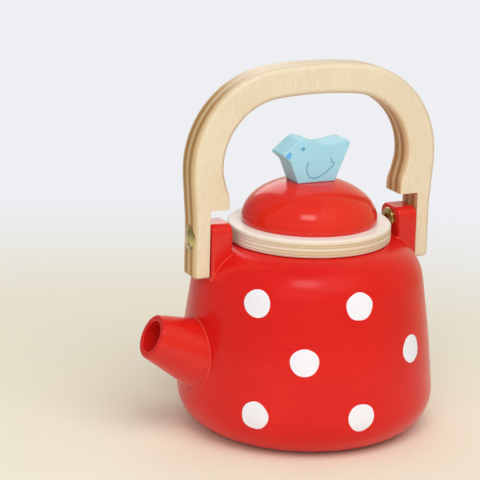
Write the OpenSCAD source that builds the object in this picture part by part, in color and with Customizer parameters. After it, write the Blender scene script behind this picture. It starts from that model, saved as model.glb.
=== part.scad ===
// Wooden toy kettle: a turned pot with a coped spout and two ears, a plywood bail handle
// that swings on two bolts, and a lift-off lid with a bird for its knob.
// Millimetres. The origin is the middle of the flat base, +Z is up, the spout points to -X.

/* [Pot] */
// Height of the pot, from the table to the seat of the lid
pot_h = 82.3; // [74:0.1:96]
// Diameter of the side where it would meet the table, before the foot is rounded
pot_d = 114.4; // [108:0.1:126]
// How far the side has come in at the waist
waist_in = 3.75; // [2:0.05:6]
// Height of the waist
waist_z = 40.5; // [34:0.5:48]
// How far the side has come in at the neck
neck_in = 7.3; // [6:0.1:9]
// How far the shoulder has come in at the rim
rim_in = 12.9; // [11:0.1:15]
// Height of the shoulder, from the neck to the rim
shoulder_h = 16.8; // [14:0.1:20]
// Rounding of the foot
foot_round = 17; // [10:0.5:20]
// Rounding of the waist
waist_round = 300; // [100:10:400]
// Rounding of the neck
neck_round = 60; // [20:1:70]
// Rounding of the rim
rim_round = 8; // [4:0.5:9]
// Thickness of the pot's floor
floor_t = 16; // [8:0.5:24]
// Rounding at the bottom of the hollow
hollow_round = 8; // [3:0.5:12]
// Rounding of the mouth's edge
mouth_round = 1.2; // [0.5:0.1:2]

/* [Spout] */
// Height at which the spout's axis leaves the pot's wall
spout_z = 37.3; // [32:0.1:40]
// Tilt of the spout above level
spout_tilt = 24.4; // [15:0.1:30]
// Length of the spout along its axis, from the pot's wall to the tip
spout_l = 20.6; // [14:0.1:28]
// Diameter at the tip
spout_tip_d = 18.8; // [16:0.1:22]
// Diameter at the pot's wall
spout_base_d = 28.4; // [24:0.1:32]
// Diameter of the bore
spout_bore_d = 13.6; // [10:0.1:15]
// Depth of the bore
spout_bore_l = 19; // [12:0.5:22]
// Rounding of the tip's outer edge
spout_round = 1.2; // [0.4:0.1:1.6]
// Diameter of the tenon that is glued into the pot
tenon_d = 16; // [12:0.5:20]
// Length of the tenon inside the pot's wall
tenon_l = 13; // [8:0.5:16]

/* [Ears] */
// Width of an ear
ear_w = 16.2; // [14:0.1:17]
// Height of an ear's top above the pivot
ear_rise = 6; // [5.6:0.1:7]
// Rounding of an ear's upper corners
ear_corner = 4; // [3:0.1:5.4]
// Thickness of an ear
ear_t = 9.4; // [8:0.1:11]
// How far an ear's outer face lies inside the neck
ear_inset = 1.2; // [1:0.1:2.4]
// Rounding of the ears' edges
ear_round = 1.2; // [0.4:0.1:2]
// Diameter of the dowels that pin an ear to the shoulder
ear_dowel_d = 3; // [2:0.1:3.2]
// Depth of those dowels below the seat of the lid
ear_dowel_deep = 14; // [10:0.5:20]

/* [Handle] */
// Thickness of the plywood
handle_t = 13.1; // [11:0.1:15]
// Height of the handle's crown above the pivot
handle_rise = 70.5; // [66:0.1:84]
// Depth of the bar at the crown
bar_h = 12.8; // [10:0.1:16]
// Thickness of a leg beside its ear
leg_t = 6.8; // [6:0.1:9]
// Length of a leg below the pivot
leg_drop = 16.9; // [12:0.1:17]
// Air between an ear's top and the hook over it
hook_gap = 6.1; // [3:0.1:8]
// How far a hook reaches in over its ear
hook_reach = 8.6; // [6:0.1:9.3]
// How far the arch swells out past the legs
swell_out = 1.4; // [0.5:0.1:3]
// How far the arch opens out above the hooks
swell_in = 2.5; // [1.5:0.1:5]
// Rounding of the arch's outer shoulders
arch_round_out = 41.2; // [30:0.2:44]
// Rounding of the arch's inner shoulders
arch_round_in = 27.8; // [16:0.2:30]
// Rounding of the edges that the hand meets
edge_round = 2.3; // [1:0.1:3]

/* [Hardware] */
// Diameter of the pivot bolts
bolt_d = 5; // [4:0.1:5.2]
// Diameter of a bolt's head
head_d = 10.4; // [8:0.1:10.8]
// Thickness of a bolt's head
head_t = 2; // [1.4:0.1:2.4]
// How far a head lies below the leg's face
head_sink = 0.4; // [0.2:0.1:1.4]
// Diameter of a nut's flange
nut_d = 9.6; // [8:0.1:11]
// Thickness of a nut's flange
nut_t = 1.6; // [1:0.1:2.2]
// Diameter of a nut's barrel
barrel_d = 6.4; // [6:0.1:6.8]
// Length of a nut's barrel inside its ear
barrel_l = 7; // [5:0.1:7.6]
// Width across the flats of a nut's hexagon socket
socket_w = 4; // [3:0.1:4.4]
// Depth of that socket past the flange
socket_deep = 1.6; // [0.6:0.1:2]
// Metal between the socket and the thread
socket_wall = 0.8; // [0.5:0.1:1.2]
// Diameter of the washers between the ears and the legs
washer_d = 10.4; // [8:0.1:11.4]
// Thickness of those washers
washer_t = 0.3; // [0.2:0.05:1]

/* [Lid] */
// Air between the lid's rim and the nuts
lid_gap = 2.6; // [1:0.1:4]
// Thickness of the plywood disc
lid_t = 7.5; // [5:0.1:10]
// Rounding of the disc's edges
lid_round = 0.9; // [0.3:0.1:2]
// How far the disc laps the pot's rim
lid_lap = 6; // [4:0.1:8]
// Thickness of the plug that keeps the lid in the mouth
plug_t = 6; // [4:0.1:9]
// Width of the disc's bare border round the dome
lid_border = 5.9; // [4:0.1:9]
// Height of the dome
dome_h = 17.8; // [14:0.1:20]
// Height of the dome's upright edge
dome_edge_h = 1.4; // [0.6:0.1:5]
// How far the dome tucks in at its foot
dome_tuck = 0.5; // [0.1:0.1:1]
// Diameter of the flat on the dome, where the bird stands
dome_flat_d = 21; // [19:0.1:24]
// Diameter of the screw that holds plug, disc and dome together
screw_d = 4; // [3:0.1:5]
// Diameter of that screw's head
screw_head_d = 8; // [7:0.1:9]
// Length of the screw inside the dome
screw_bite = 9; // [6:0.1:10]

/* [Bird] */
// Thickness of the bird
bird_t = 11.8; // [9:0.1:14]
// Length of the bird's flat underside
bird_base = 17.4; // [15:0.1:19]
// How far the beak reaches past the underside
beak_reach = 7.7; // [5:0.1:9]
// Height of the beak's corner
beak_z = 12.6; // [10:0.1:13.4]
// How far the tail reaches past the underside
tail_reach = 7.6; // [5:0.1:10]
// Height of the tail's corner
tail_z = 18; // [16:0.1:19]
// Height of the crown's corner
crown_z = 20; // [19:0.1:22]
// Height of the dip in the back
dip_z = 15.9; // [13:0.1:16.6]
// How far the crown's corner lies behind the front of the underside
crown_back = 1.6; // [0.5:0.1:4]
// How far the dip's corner lies before the end of the underside
dip_ahead = 6.4; // [4:0.1:7.5]
// Rounding of the crown of its head
crown_round = 4.5; // [2:0.1:6]
// Rounding of the dip
dip_round = 9; // [5:0.5:12]
// Rounding of the breast
breast_round = 4; // [1:0.5:8]
// Rounding of the tail's corner
tail_round = 1.5; // [0.5:0.1:2.5]
// Rounding of the beak
beak_round = 0.9; // [0.3:0.1:1.5]
// Easing of the underside's corners
foot_ease = 0.4; // [0.2:0.1:1]
// Diameter of the dowel that the bird stands on
bird_dowel_d = 6; // [4:0.1:8]
// Length of that dowel inside the bird
bird_dowel_up = 8; // [5:0.1:10]
// Length of that dowel inside the dome
bird_dowel_down = 7; // [4:0.1:7]

/* [Fits] */
// Glue room round dowels, barrels and the tenon
glue = 0.05; // [0.02:0.01:0.1]
// Radial running clearance of the bolts in the legs
running = 0.05; // [0.02:0.01:0.1]
// End play of the legs on their bolts
end_play = 0.1; // [0.05:0.05:0.2]
// Room round the bolt heads in the legs
head_room = 0.4; // [0.2:0.05:0.6]
// Radial room of the plug in the mouth
plug_room = 1.2; // [0.3:0.1:2]
// Air between the nuts and the pot's rim
nut_air = 0.1; // [0.05:0.05:0.5]

/* [Hidden] */
front = -1;
rear = 1;
red = "#DC2B26";
birch = "#E8D5B0";
sky = "#A3D7E6";
zinc = "#B5A55A";
beech = "#D9B98A";
round_fn = 96;
corner_steps = 8;
edge_steps = 4;
// Cuts run this far past the face they open
past = 1;

// Pot, at the axis: the side's corners
foot_r = pot_d / 2;
waist_r = foot_r - waist_in;
neck_r = foot_r - neck_in;
rim_r = foot_r - rim_in;
neck_z = pot_h - shoulder_h;

// Pivot: the nut's flange just clears the pot's rim
pivot_z = pot_h + nut_d / 2 + nut_air;
ear_top_z = pivot_z + ear_rise;
ear_corner_z = ear_top_z - ear_corner;
ear_flat = ear_w - 2 * ear_corner;

// Stations along X, from the lid out to the bolt's head
ear_out = neck_r - ear_inset;
ear_in = ear_out - ear_t;
ear_mid = (ear_in + ear_out) / 2;
leg_in = ear_out + washer_t + end_play;
leg_out = leg_in + leg_t;
head_seat = leg_out - head_sink - head_t;
lid_r = ear_in - nut_t - lid_gap;

// Lid
mouth_r = lid_r - lid_lap;
plug_r = mouth_r - plug_room;
dome_r = lid_r - lid_border;
dome_z = pot_h + lid_t;
dome_flat_z = dome_z + dome_h;
dome_crown = (dome_h - dome_edge_h) / sqrt(1 - pow(dome_flat_d / 2 / dome_r, 2));

// Handle
hook_z = ear_top_z + hook_gap;
hook_in = leg_in - hook_reach;
leg_z = pivot_z - leg_drop;
arch_out = leg_out + swell_out;
arch_in = hook_in + swell_in;
crown_out_z = pivot_z + handle_rise;
crown_in_z = crown_out_z - bar_h;
// Share of a head's or a flange's thickness that its edge rounds away
crown_share = 0.6;
// Heights, above the pivot and above the hooks, between which the bar swells
swell_foot = 7;
swell_head = 26;
hook_foot = 5.7;
hook_head = 15.3;
swell_round = 30;
hook_round = 14;
// The inner shoulders end above the swell
shoulder_in = min(arch_round_in, crown_in_z - hook_z - hook_head - swell_in);

// Spout: its root is where the axis meets the wall
spout_root = [-(foot_r - waist_in * spout_z / waist_z), 0, spout_z];
spout_flare = (spout_base_d - spout_tip_d) / 2 / spout_l;
// The cone runs on inside the wall before it is coped
spout_sink = 9;

// The screw's countersunk head tapers at 45 degrees
screw_cone = (screw_head_d - screw_d) / 2;

// Ear dowels stand midway between the barrel and the ear's side
ear_dowel_y = (barrel_d / 2 + ear_w / 2) / 2;

function unit(v) = v / norm(v);

// The arc of radius r that rounds the corner at here, as n + 1 points; r = 0 keeps it sharp
function corner(before, here, after, r, n) =
  let (
    p = [here.x, here.y],
    a = [before.x, before.y] - p,
    b = [after.x, after.y] - p
  )
  r == 0 ? [p] :
  let (
    half = acos(unit(a) * unit(b)) / 2,
    fit = min(r, min(norm(a), norm(b)) * tan(half)),
    centre = p + unit(unit(a) + unit(b)) * fit / sin(half),
    start = p + unit(a) * fit / tan(half) - centre,
    end = p + unit(b) * fit / tan(half) - centre,
    from = atan2(start.y, start.x),
    turn = (atan2(end.y, end.x) - from + 540) % 360 - 180
  )
  [for (k = [0 : n]) centre + fit * [cos(from + turn * k / n), sin(from + turn * k / n)]];

// A polyline through corners [x, y, rounding]
function rounded(pts, n = corner_steps) =
  let (m = len(pts))
  [for (i = [0 : m - 1]) each corner(pts[(i + m - 1) % m], pts[i], pts[(i + 1) % m], pts[i].z, n)];

// The pot's side, from the base to its rim
pot_side = [
  [foot_r, 0, foot_round],
  [waist_r, waist_z, waist_round],
  [neck_r, neck_z, neck_round],
  [rim_r, pot_h, rim_round]
];

// The pot turned solid: what the spout and the ears are coped to
module pot_blank() {
  rotate_extrude($fn = round_fn)
    polygon(rounded(concat([[0, 0, 0]], pot_side, [[0, pot_h, 0]])));
}

// Children at one end of the kettle: built at +X, mirrored for the front
module at_end(end) {
  mirror([end == front ? 1 : 0, 0, 0]) children();
}

// A cylinder along X about the pivot axis, from x0 to x1
module pivot_rod(d, x0, x1, fn = round_fn) {
  translate([x0, 0, pivot_z]) rotate([0, 90, 0]) cylinder(d = d, h = x1 - x0, $fn = fn);
}

// The two dowels of one ear, or their holes with room added
module ear_dowel_pair(room = 0) {
  for (side = [-1, 1])
    translate([ear_mid, side * ear_dowel_y, pot_h - ear_dowel_deep - room])
      cylinder(d = ear_dowel_d + 2 * room, h = ear_dowel_deep + pivot_z - pot_h + 2 * room, $fn = 32);
}

// Places children at the spout's root, with Z along its axis
module along_spout() {
  translate(spout_root) rotate([0, spout_tilt - 90, 0]) children();
}

// A cylinder along the spout's axis, from z0 to z1
module spout_rod(d, z0, z1) {
  translate([0, 0, z0]) cylinder(d = d, h = z1 - z0, $fn = round_fn);
}

// The turned outline of a round head: flat underneath, its upper edge rounded
module head_disc(d, t) {
  rotate_extrude($fn = round_fn)
    polygon(rounded([[0, 0, 0], [d / 2, 0, 0], [d / 2, t, t * crown_share], [0, t, 0]]));
}

// A hole or pin on the lid's axis, from z0 to z1
module axis_rod(d, z0, z1) {
  translate([0, 0, z0]) cylinder(d = d, h = z1 - z0, $fn = round_fn);
}

module pot_body() {
  color(red) difference() {
    rotate_extrude($fn = round_fn)
      polygon(rounded(concat(
        [[0, 0, 0]],
        pot_side,
        [[mouth_r, pot_h, mouth_round], [mouth_r, floor_t, hollow_round], [0, floor_t, 0]]
      )));
    along_spout() spout_rod(tenon_d + 2 * glue, -tenon_l - glue, spout_l);
    for (end = [front, rear]) at_end(end) ear_dowel_pair(glue);
  }
}

module spout() {
  color(red) difference() {
    union() {
      difference() {
        along_spout() rotate_extrude($fn = round_fn)
          polygon(rounded([
            [0, -spout_sink, 0],
            [spout_base_d / 2 + spout_flare * spout_sink, -spout_sink, 0],
            [spout_tip_d / 2, spout_l, spout_round],
            [0, spout_l, 0]
          ]));
        pot_blank();
      }
      along_spout() spout_rod(tenon_d, -tenon_l, spout_l / 2);
    }
    along_spout() spout_rod(spout_bore_d, spout_l - spout_bore_l, spout_l + past);
  }
}

// One ear: a block with round upper corners, its edges eased, coped to the shoulder and bored
module ear(end) {
  half = ear_t / 2;
  color(red) at_end(end) difference() {
    union() {
      for (side = [-1, 1])
        translate([ear_mid, side * ear_flat / 2, ear_corner_z]) rotate([0, 90, 0])
          rotate_extrude($fn = round_fn) polygon(rounded([
            [0, -half, 0], [ear_corner, -half, ear_round], [ear_corner, half, ear_round], [0, half, 0]
          ], edge_steps));
      translate([ear_mid, ear_flat / 2, ear_corner_z]) rotate([90, 0, 0]) linear_extrude(ear_flat)
        polygon(rounded([
          [-half, -past, 0], [half, -past, 0], [half, ear_corner, ear_round], [-half, ear_corner, ear_round]
        ], edge_steps));
      translate([ear_mid, 0, neck_z]) linear_extrude(ear_corner_z - neck_z)
        polygon(rounded([
          [-half, -ear_w / 2, ear_round], [half, -ear_w / 2, ear_round],
          [half, ear_w / 2, ear_round], [-half, ear_w / 2, ear_round]
        ], edge_steps));
    }
    pot_blank();
    pivot_rod(bolt_d + 2 * running, ear_in - past, ear_out + past);
    pivot_rod(barrel_d + 2 * glue, ear_in - past, ear_in + barrel_l + glue);
    ear_dowel_pair(glue);
  }
}

module front_ear() { ear(front); }
module rear_ear() { ear(rear); }

module ear_dowels(end) { color(beech) at_end(end) ear_dowel_pair(); }
module front_ear_dowels() { ear_dowels(front); }
module rear_ear_dowels() { ear_dowels(rear); }

// A bolt with a low round head, sunk in the leg and screwed into the nut's barrel
module pivot_bolt(end) {
  color(zinc) at_end(end) {
    pivot_rod(bolt_d, ear_in + socket_deep + socket_wall, head_seat + end_play + past / 2);
    translate([head_seat + end_play, 0, pivot_z]) rotate([0, 90, 0]) head_disc(head_d, head_t);
  }
}

module front_pivot_bolt() { pivot_bolt(front); }
module rear_pivot_bolt() { pivot_bolt(rear); }

// A flanged barrel nut, let into the ear from the lid's side
module pivot_nut(end) {
  color(zinc) at_end(end) difference() {
    union() {
      translate([ear_in, 0, pivot_z]) rotate([0, -90, 0]) head_disc(nut_d, nut_t);
      pivot_rod(barrel_d, ear_in - nut_t / 2, ear_in + barrel_l);
    }
    pivot_rod(socket_w / cos(30), ear_in - nut_t - past, ear_in + socket_deep, 6);
    pivot_rod(bolt_d + 2 * glue, ear_in + socket_deep + socket_wall - glue, ear_in + barrel_l + past);
  }
}

module front_pivot_nut() { pivot_nut(front); }
module rear_pivot_nut() { pivot_nut(rear); }

module washer(end) {
  color(zinc) at_end(end) difference() {
    pivot_rod(washer_d, ear_out, ear_out + washer_t);
    pivot_rod(bolt_d + 2 * running, ear_out - past, ear_out + washer_t + past);
  }
}

module front_washer() { washer(front); }
module rear_washer() { washer(rear); }

function mirrored(p) = [-p.x, p.y];

// One section of the bar, from its inner edge to its outer one, drawn in by inset
function bar_ring(inner, outer, inset) =
  let (
    u = unit(outer - inner),
    w = norm(outer - inner),
    r = edge_round - inset,
    along = w / 2 - inset - r,
    across = handle_t / 2 - inset - r,
    middle = (inner + outer) / 2,
    signs = [[1, 1], [-1, 1], [-1, -1], [1, -1]]
  )
  [for (q = [0 : 3]) for (k = [0 : edge_steps])
    let (
      turn = 90 * (q + k / edge_steps),
      a = signs[q].x * along + r * cos(turn),
      b = signs[q].y * across + r * sin(turn)
    )
    [middle.x + u.x * a, b, middle.y + u.y * a]];

// The arch before the ears' rebates and the bores: sections swept from leg to leg
module handle_blank() {
  outer_half = rounded([
    [leg_out, leg_z, 0],
    [leg_out, pivot_z + swell_foot, swell_round],
    [arch_out, pivot_z + swell_head, swell_round],
    [arch_out, crown_out_z, arch_round_out],
    [0, crown_out_z, 0]
  ]);
  inner_half = rounded([
    [hook_in, leg_z, 0],
    [hook_in, hook_z + hook_foot, hook_round],
    [arch_in, hook_z + hook_head, hook_round],
    [arch_in, crown_in_z, shoulder_in],
    [0, crown_in_z, 0]
  ]);
  m = len(outer_half);
  // Stations [inner, outer, inset] up one side: the leg's end is rounded over first
  end_turns = [for (k = [1 : edge_steps]) 90 * k / (edge_steps + 1)];
  end_rings = [for (turn = end_turns)
    let (up = [0, edge_round * (1 - cos(turn))])
    [inner_half[0] + up, outer_half[0] + up, edge_round * (1 - sin(turn))]];
  straight = [[inner_half[0] + [0, edge_round], outer_half[0] + [0, edge_round], 0]];
  climb = concat(end_rings, straight, [for (i = [1 : m - 1]) [inner_half[i], outer_half[i], 0]]);
  last = len(climb) - 1;
  descent = [for (i = [last - 1 : -1 : 0])
    [mirrored(climb[i][0]), mirrored(climb[i][1]), climb[i][2]]];
  rings = [for (s = concat(climb, descent)) bar_ring(s[0], s[1], s[2])];
  n = len(rings[0]);
  sides = [for (i = [0 : len(rings) - 2]) for (j = [0 : n - 1])
    let (a = i * n + j, b = i * n + (j + 1) % n)
    each [[a, a + n, b + n], [a, b + n, b]]];
  caps = [[for (j = [0 : n - 1]) j], [for (j = [n - 1 : -1 : 0]) (len(rings) - 1) * n + j]];
  polyhedron(points = [for (ring = rings) each ring], faces = concat(sides, caps), convexity = 6);
}

module handle() {
  color(birch) difference() {
    handle_blank();
    translate([-leg_in, -handle_t, leg_z - past]) cube([2 * leg_in, 2 * handle_t, hook_z - leg_z + past]);
    for (end = [front, rear]) at_end(end) {
      pivot_rod(bolt_d + 2 * running, leg_in - past, leg_out + past);
      pivot_rod(head_d + 2 * head_room, head_seat, leg_out + past);
    }
  }
}

module lid_disc() {
  color(birch) difference() {
    translate([0, 0, pot_h]) rotate_extrude($fn = round_fn)
      polygon(rounded([[0, 0, 0], [lid_r, 0, lid_round], [lid_r, lid_t, lid_round], [0, lid_t, 0]]));
    axis_rod(screw_d + 2 * glue, pot_h - past, dome_z + past);
  }
}

// The screw's countersunk head, flush with the plug, or its seat with room added
module screw_head(room = 0) {
  translate([0, 0, pot_h - plug_t])
    cylinder(d1 = screw_head_d + 2 * room, d2 = screw_d + 2 * room, h = screw_cone, $fn = round_fn);
}

module lid_plug() {
  color(birch) difference() {
    translate([0, 0, pot_h - plug_t]) rotate_extrude($fn = round_fn)
      polygon(rounded([[0, 0, 0], [plug_r, 0, lid_round], [plug_r, plug_t, 0], [0, plug_t, 0]]));
    axis_rod(screw_d + 2 * glue, pot_h - plug_t - past, pot_h + past);
    screw_head(glue);
  }
}

module lid_screw() {
  color(zinc) {
    screw_head();
    axis_rod(screw_d, pot_h - plug_t, dome_z + screw_bite);
  }
}

// A low half-ellipse on a short upright edge, with a flat for the bird
module lid_dome() {
  flat_turn = acos(dome_flat_d / 2 / dome_r);
  steps = 3 * corner_steps;
  crown = [for (k = [0 : steps])
    let (turn = flat_turn * k / steps)
    [dome_r * cos(turn), dome_edge_h + dome_crown * sin(turn)]];
  color(red) difference() {
    translate([0, 0, dome_z]) rotate_extrude($fn = round_fn)
      polygon(concat([[0, 0], [dome_r - dome_tuck, 0]], crown, [[0, dome_h]]));
    axis_rod(screw_d + 2 * glue, dome_z - past, dome_z + screw_bite + glue);
    axis_rod(bird_dowel_d + 2 * glue, dome_flat_z - bird_dowel_down - glue, dome_flat_z + past);
  }
}

// A plain bird cut from a board: beak to the spout, tail up behind
module bird_knob() {
  half = bird_base / 2;
  color(sky) difference() {
    translate([0, bird_t / 2, dome_flat_z]) rotate([90, 0, 0]) linear_extrude(bird_t)
      polygon(rounded([
        [-half, 0, foot_ease],
        [half, 0, foot_ease],
        [half + tail_reach, tail_z, tail_round],
        [half - dip_ahead, dip_z, dip_round],
        [-half + crown_back, crown_z, crown_round],
        [-half - beak_reach, beak_z, beak_round],
        [-half - beak_reach / 2, beak_z * 3 / 4, breast_round]
      ]));
    axis_rod(bird_dowel_d + 2 * glue, dome_flat_z - past, dome_flat_z + bird_dowel_up + glue);
  }
}

module bird_dowel() {
  color(beech) axis_rod(bird_dowel_d, dome_flat_z - bird_dowel_down, dome_flat_z + bird_dowel_up);
}

pot_body();
spout();
front_ear();
rear_ear();
front_ear_dowels();
rear_ear_dowels();
front_pivot_bolt();
rear_pivot_bolt();
front_pivot_nut();
rear_pivot_nut();
front_washer();
rear_washer();
handle();
lid_disc();
lid_plug();
lid_dome();
lid_screw();
bird_knob();
bird_dowel();
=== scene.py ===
"""A wooden toy kettle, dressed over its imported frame.

Each class below is one sub-assembly: it holds its sizes in millimetres, builds smooth meshes in the
place that the frame gives, and dresses them in their finish. Pieces ride on the bodies pot, handle
and lid, so the handle swings and the lid lifts with everything on them.
"""

import logging
import math
import random
from dataclasses import dataclass, field
from enum import Enum
from typing import Self

import bmesh
import bpy
import numpy as np
from bpy.types import ID, Material, Node, NodeSocket, NodeTree, Object, World
from mathutils import Matrix, Vector


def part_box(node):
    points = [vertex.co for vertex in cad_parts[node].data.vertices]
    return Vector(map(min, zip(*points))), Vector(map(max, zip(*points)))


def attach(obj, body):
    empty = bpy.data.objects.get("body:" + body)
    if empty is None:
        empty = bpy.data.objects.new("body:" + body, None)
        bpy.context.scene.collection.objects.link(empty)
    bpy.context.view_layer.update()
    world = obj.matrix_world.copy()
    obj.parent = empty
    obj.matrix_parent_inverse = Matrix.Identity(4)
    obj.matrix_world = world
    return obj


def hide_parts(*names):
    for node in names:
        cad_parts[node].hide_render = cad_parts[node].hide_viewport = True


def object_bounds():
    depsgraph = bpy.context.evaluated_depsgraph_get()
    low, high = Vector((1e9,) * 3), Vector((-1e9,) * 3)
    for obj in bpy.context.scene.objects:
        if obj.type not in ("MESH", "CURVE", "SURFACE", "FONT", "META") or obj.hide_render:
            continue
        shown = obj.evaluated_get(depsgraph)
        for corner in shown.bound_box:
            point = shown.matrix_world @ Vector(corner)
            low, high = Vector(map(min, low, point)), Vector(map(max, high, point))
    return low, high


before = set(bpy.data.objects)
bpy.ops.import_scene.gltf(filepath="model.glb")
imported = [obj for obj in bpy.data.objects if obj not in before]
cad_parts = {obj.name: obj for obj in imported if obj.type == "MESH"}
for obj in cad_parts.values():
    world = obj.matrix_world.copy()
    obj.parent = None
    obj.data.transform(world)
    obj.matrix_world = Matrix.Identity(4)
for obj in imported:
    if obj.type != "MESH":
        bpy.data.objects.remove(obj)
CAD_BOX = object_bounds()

MM = 0.001
log = logging.getLogger("kettle")


class Body(Enum):
    """The bodies that pieces ride on."""

    POT = "pot"
    HANDLE = "handle"
    LID = "lid"


class Slot(Enum):
    """The record's material slots."""

    RED = "red_paint"
    WHITE = "white_paint"
    PLY = "birch_ply"
    BLUE = "blue_paint"
    BEECH = "dowel_beech"
    ZINC = "yellow_zinc"


class Axis(Enum):
    """A direction of the frame, as the index of its coordinate."""

    X = 0
    Y = 1
    Z = 2


class End(Enum):
    """The two ends of the kettle, as the sign of X: the spout is at the front."""

    FRONT = -1
    REAR = 1

    def node(self, piece: str) -> str:
        """Names the node of a piece that both ends have."""
        return f"{self.name.lower()}_{piece}"


# Colours and nodes

# A Mix node's sockets by index, because its colours and its numbers share their names
COLOUR_A, COLOUR_B, COLOUR_OUT = 6, 7, 2
NUMBER_A, NUMBER_B = 2, 3


def to_linear(colour: str) -> tuple[float, float, float, float]:
    """Turns an sRGB hex colour into the linear RGBA that sockets take.

    Args:
        colour: A hash and six hex digits.

    Returns:
        Red, green, blue and an alpha of one.
    """
    levels = [int(colour[i:i + 2], 16) / 255 for i in (1, 3, 5)]
    return (*[v / 12.92 if v <= 0.04045 else ((v + 0.055) / 1.055) ** 2.4 for v in levels], 1.0)


def per_metre(size_mm: float) -> float:
    """Gives the texture scale whose features are about size_mm across."""
    return 1 / (size_mm * MM)


def emptied_tree(owner: Material | World) -> NodeTree:
    """Turns on the nodes of a material or world, and removes those it starts with.

    Args:
        owner: The material or world.

    Returns:
        Its node tree.
    """
    owner.use_nodes = True
    owner.node_tree.nodes.clear()
    return owner.node_tree


def add_node(
    tree: NodeTree, kind: str, settings: dict | None = None, links: dict | None = None
) -> Node:
    """Adds one node with its settings and links.

    Args:
        tree: The node tree to add to.
        kind: The node's type name, without its ShaderNode prefix.
        settings: Values by the name of a property, or the name or index of an input socket; stops
            is a colour ramp's list of (position, RGBA).
        links: Output sockets by the name or index of the input socket that they feed.

    Returns:
        The new node.
    """
    node = tree.nodes.new("ShaderNode" + kind)
    for key, value in (settings or {}).items():
        if key == "stops":
            ramp = node.color_ramp.elements
            while len(ramp) < len(value):
                ramp.new(1.0)
            for stop, (position, colour) in zip(ramp, value):
                stop.position = position
                stop.color = colour
        elif isinstance(key, str) and hasattr(node, key):
            setattr(node, key, value)
        else:
            node.inputs[key].default_value = value
    for key, socket in (links or {}).items():
        tree.links.new(socket, node.inputs[key])
    return node


# Finishes


@dataclass(frozen=True)
class Finish:
    """What every finish has: a material name, and the record's slot that it stands for."""

    name: str
    slot: Slot

    def shade(self, tree: NodeTree) -> Node:
        """Builds the finish's nodes and returns its shader; each finish has its own."""
        raise NotImplementedError

    def two_tones(
        self, tree: NodeTree, pattern: NodeSocket, span: tuple[float, float], tones: tuple[str, str]
    ) -> NodeSocket:
        """Blends two colours by a pattern.

        Args:
            tree: The material's node tree.
            pattern: The pattern's value.
            span: The values up to which the first colour is pure, and from which the second is.
            tones: The two colours.

        Returns:
            The blended colour.
        """
        share = add_node(
            tree, "MapRange", {"From Min": span[0], "From Max": span[1]}, {"Value": pattern}
        )
        first, second = (to_linear(tone) for tone in tones)
        mix = add_node(
            tree, "Mix", {"data_type": "RGBA", COLOUR_A: first, COLOUR_B: second}, {0: share.outputs[0]}
        )
        return mix.outputs[COLOUR_OUT]

    def coat(
        self, tree: NodeTree, settings: dict, colour: NodeSocket, height: NodeSocket, relief_mm: float
    ) -> Node:
        """Ends a finish with its shader, whose gloss is stirred by a slight relief.

        Args:
            tree: The material's node tree.
            settings: The shader's own values.
            colour: Its base colour.
            height: The pattern of the relief.
            relief_mm: How deep the relief is.

        Returns:
            The shader node.
        """
        bump = add_node(tree, "Bump", {"Strength": 1.0, "Distance": relief_mm * MM}, {"Height": height})
        links = {"Base Color": colour, "Normal": bump.outputs[0]}
        return add_node(tree, "BsdfPrincipled", settings, links)

    def material(self) -> Material:
        """Makes the material on first use.

        Returns:
            The one material of this name.
        """
        made = bpy.data.materials.get(self.name)
        if made is None:
            made = bpy.data.materials.new(self.name)
            tree = emptied_tree(made)
            shader = self.shade(tree)
            add_node(tree, "OutputMaterial", links={"Surface": shader.outputs[0]})
        return made


@dataclass(frozen=True)
class GlossEnamel(Finish):
    """Enamel over turned wood: a deep even colour, with the grain just telling through the gloss."""

    colour: str
    shade_colour: str
    roughness: float
    ior: float = 1.48
    gloss: float = 0.5
    lathe_mm: float = 0.9
    lathe_run: float = 18.0
    drift_mm: float = 26.0
    tone_span: tuple[float, float] = (0.12, 0.42)
    peel_mm: float = 3.2
    relief_mm: float = 0.03

    def shade(self, tree: NodeTree) -> Node:
        """Drifts the colour a little and lets lathe lines and brush marks stir the gloss.

        Args:
            tree: The material's node tree.

        Returns:
            The shader node.
        """
        coords = add_node(tree, "TexCoord").outputs["Object"]
        round_z = (1 / self.lathe_run, 1 / self.lathe_run, 1)
        along = add_node(tree, "Mapping", {"Scale": round_z}, {"Vector": coords})
        grain = add_node(
            tree, "TexNoise",
            {"Scale": per_metre(self.lathe_mm), "Detail": 3.0, "Roughness": 0.55},
            {"Vector": along.outputs[0]},
        ).outputs["Fac"]
        drift = add_node(
            tree, "TexNoise", {"Scale": per_metre(self.drift_mm), "Detail": 2.0}, {"Vector": coords}
        ).outputs["Fac"]
        blend = add_node(tree, "Math", {"operation": "MULTIPLY"}, {0: grain, 1: drift}).outputs[0]
        colour = self.two_tones(tree, blend, self.tone_span, (self.shade_colour, self.colour))
        peel = add_node(
            tree, "TexNoise", {"Scale": per_metre(self.peel_mm), "Detail": 1.0}, {"Vector": coords}
        ).outputs["Fac"]
        height = add_node(tree, "Math", {"operation": "ADD"}, {0: grain, 1: peel}).outputs[0]
        settings = {"Roughness": self.roughness, "IOR": self.ior, "Specular IOR Level": self.gloss}
        return self.coat(tree, settings, colour, height, self.relief_mm)


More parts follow.
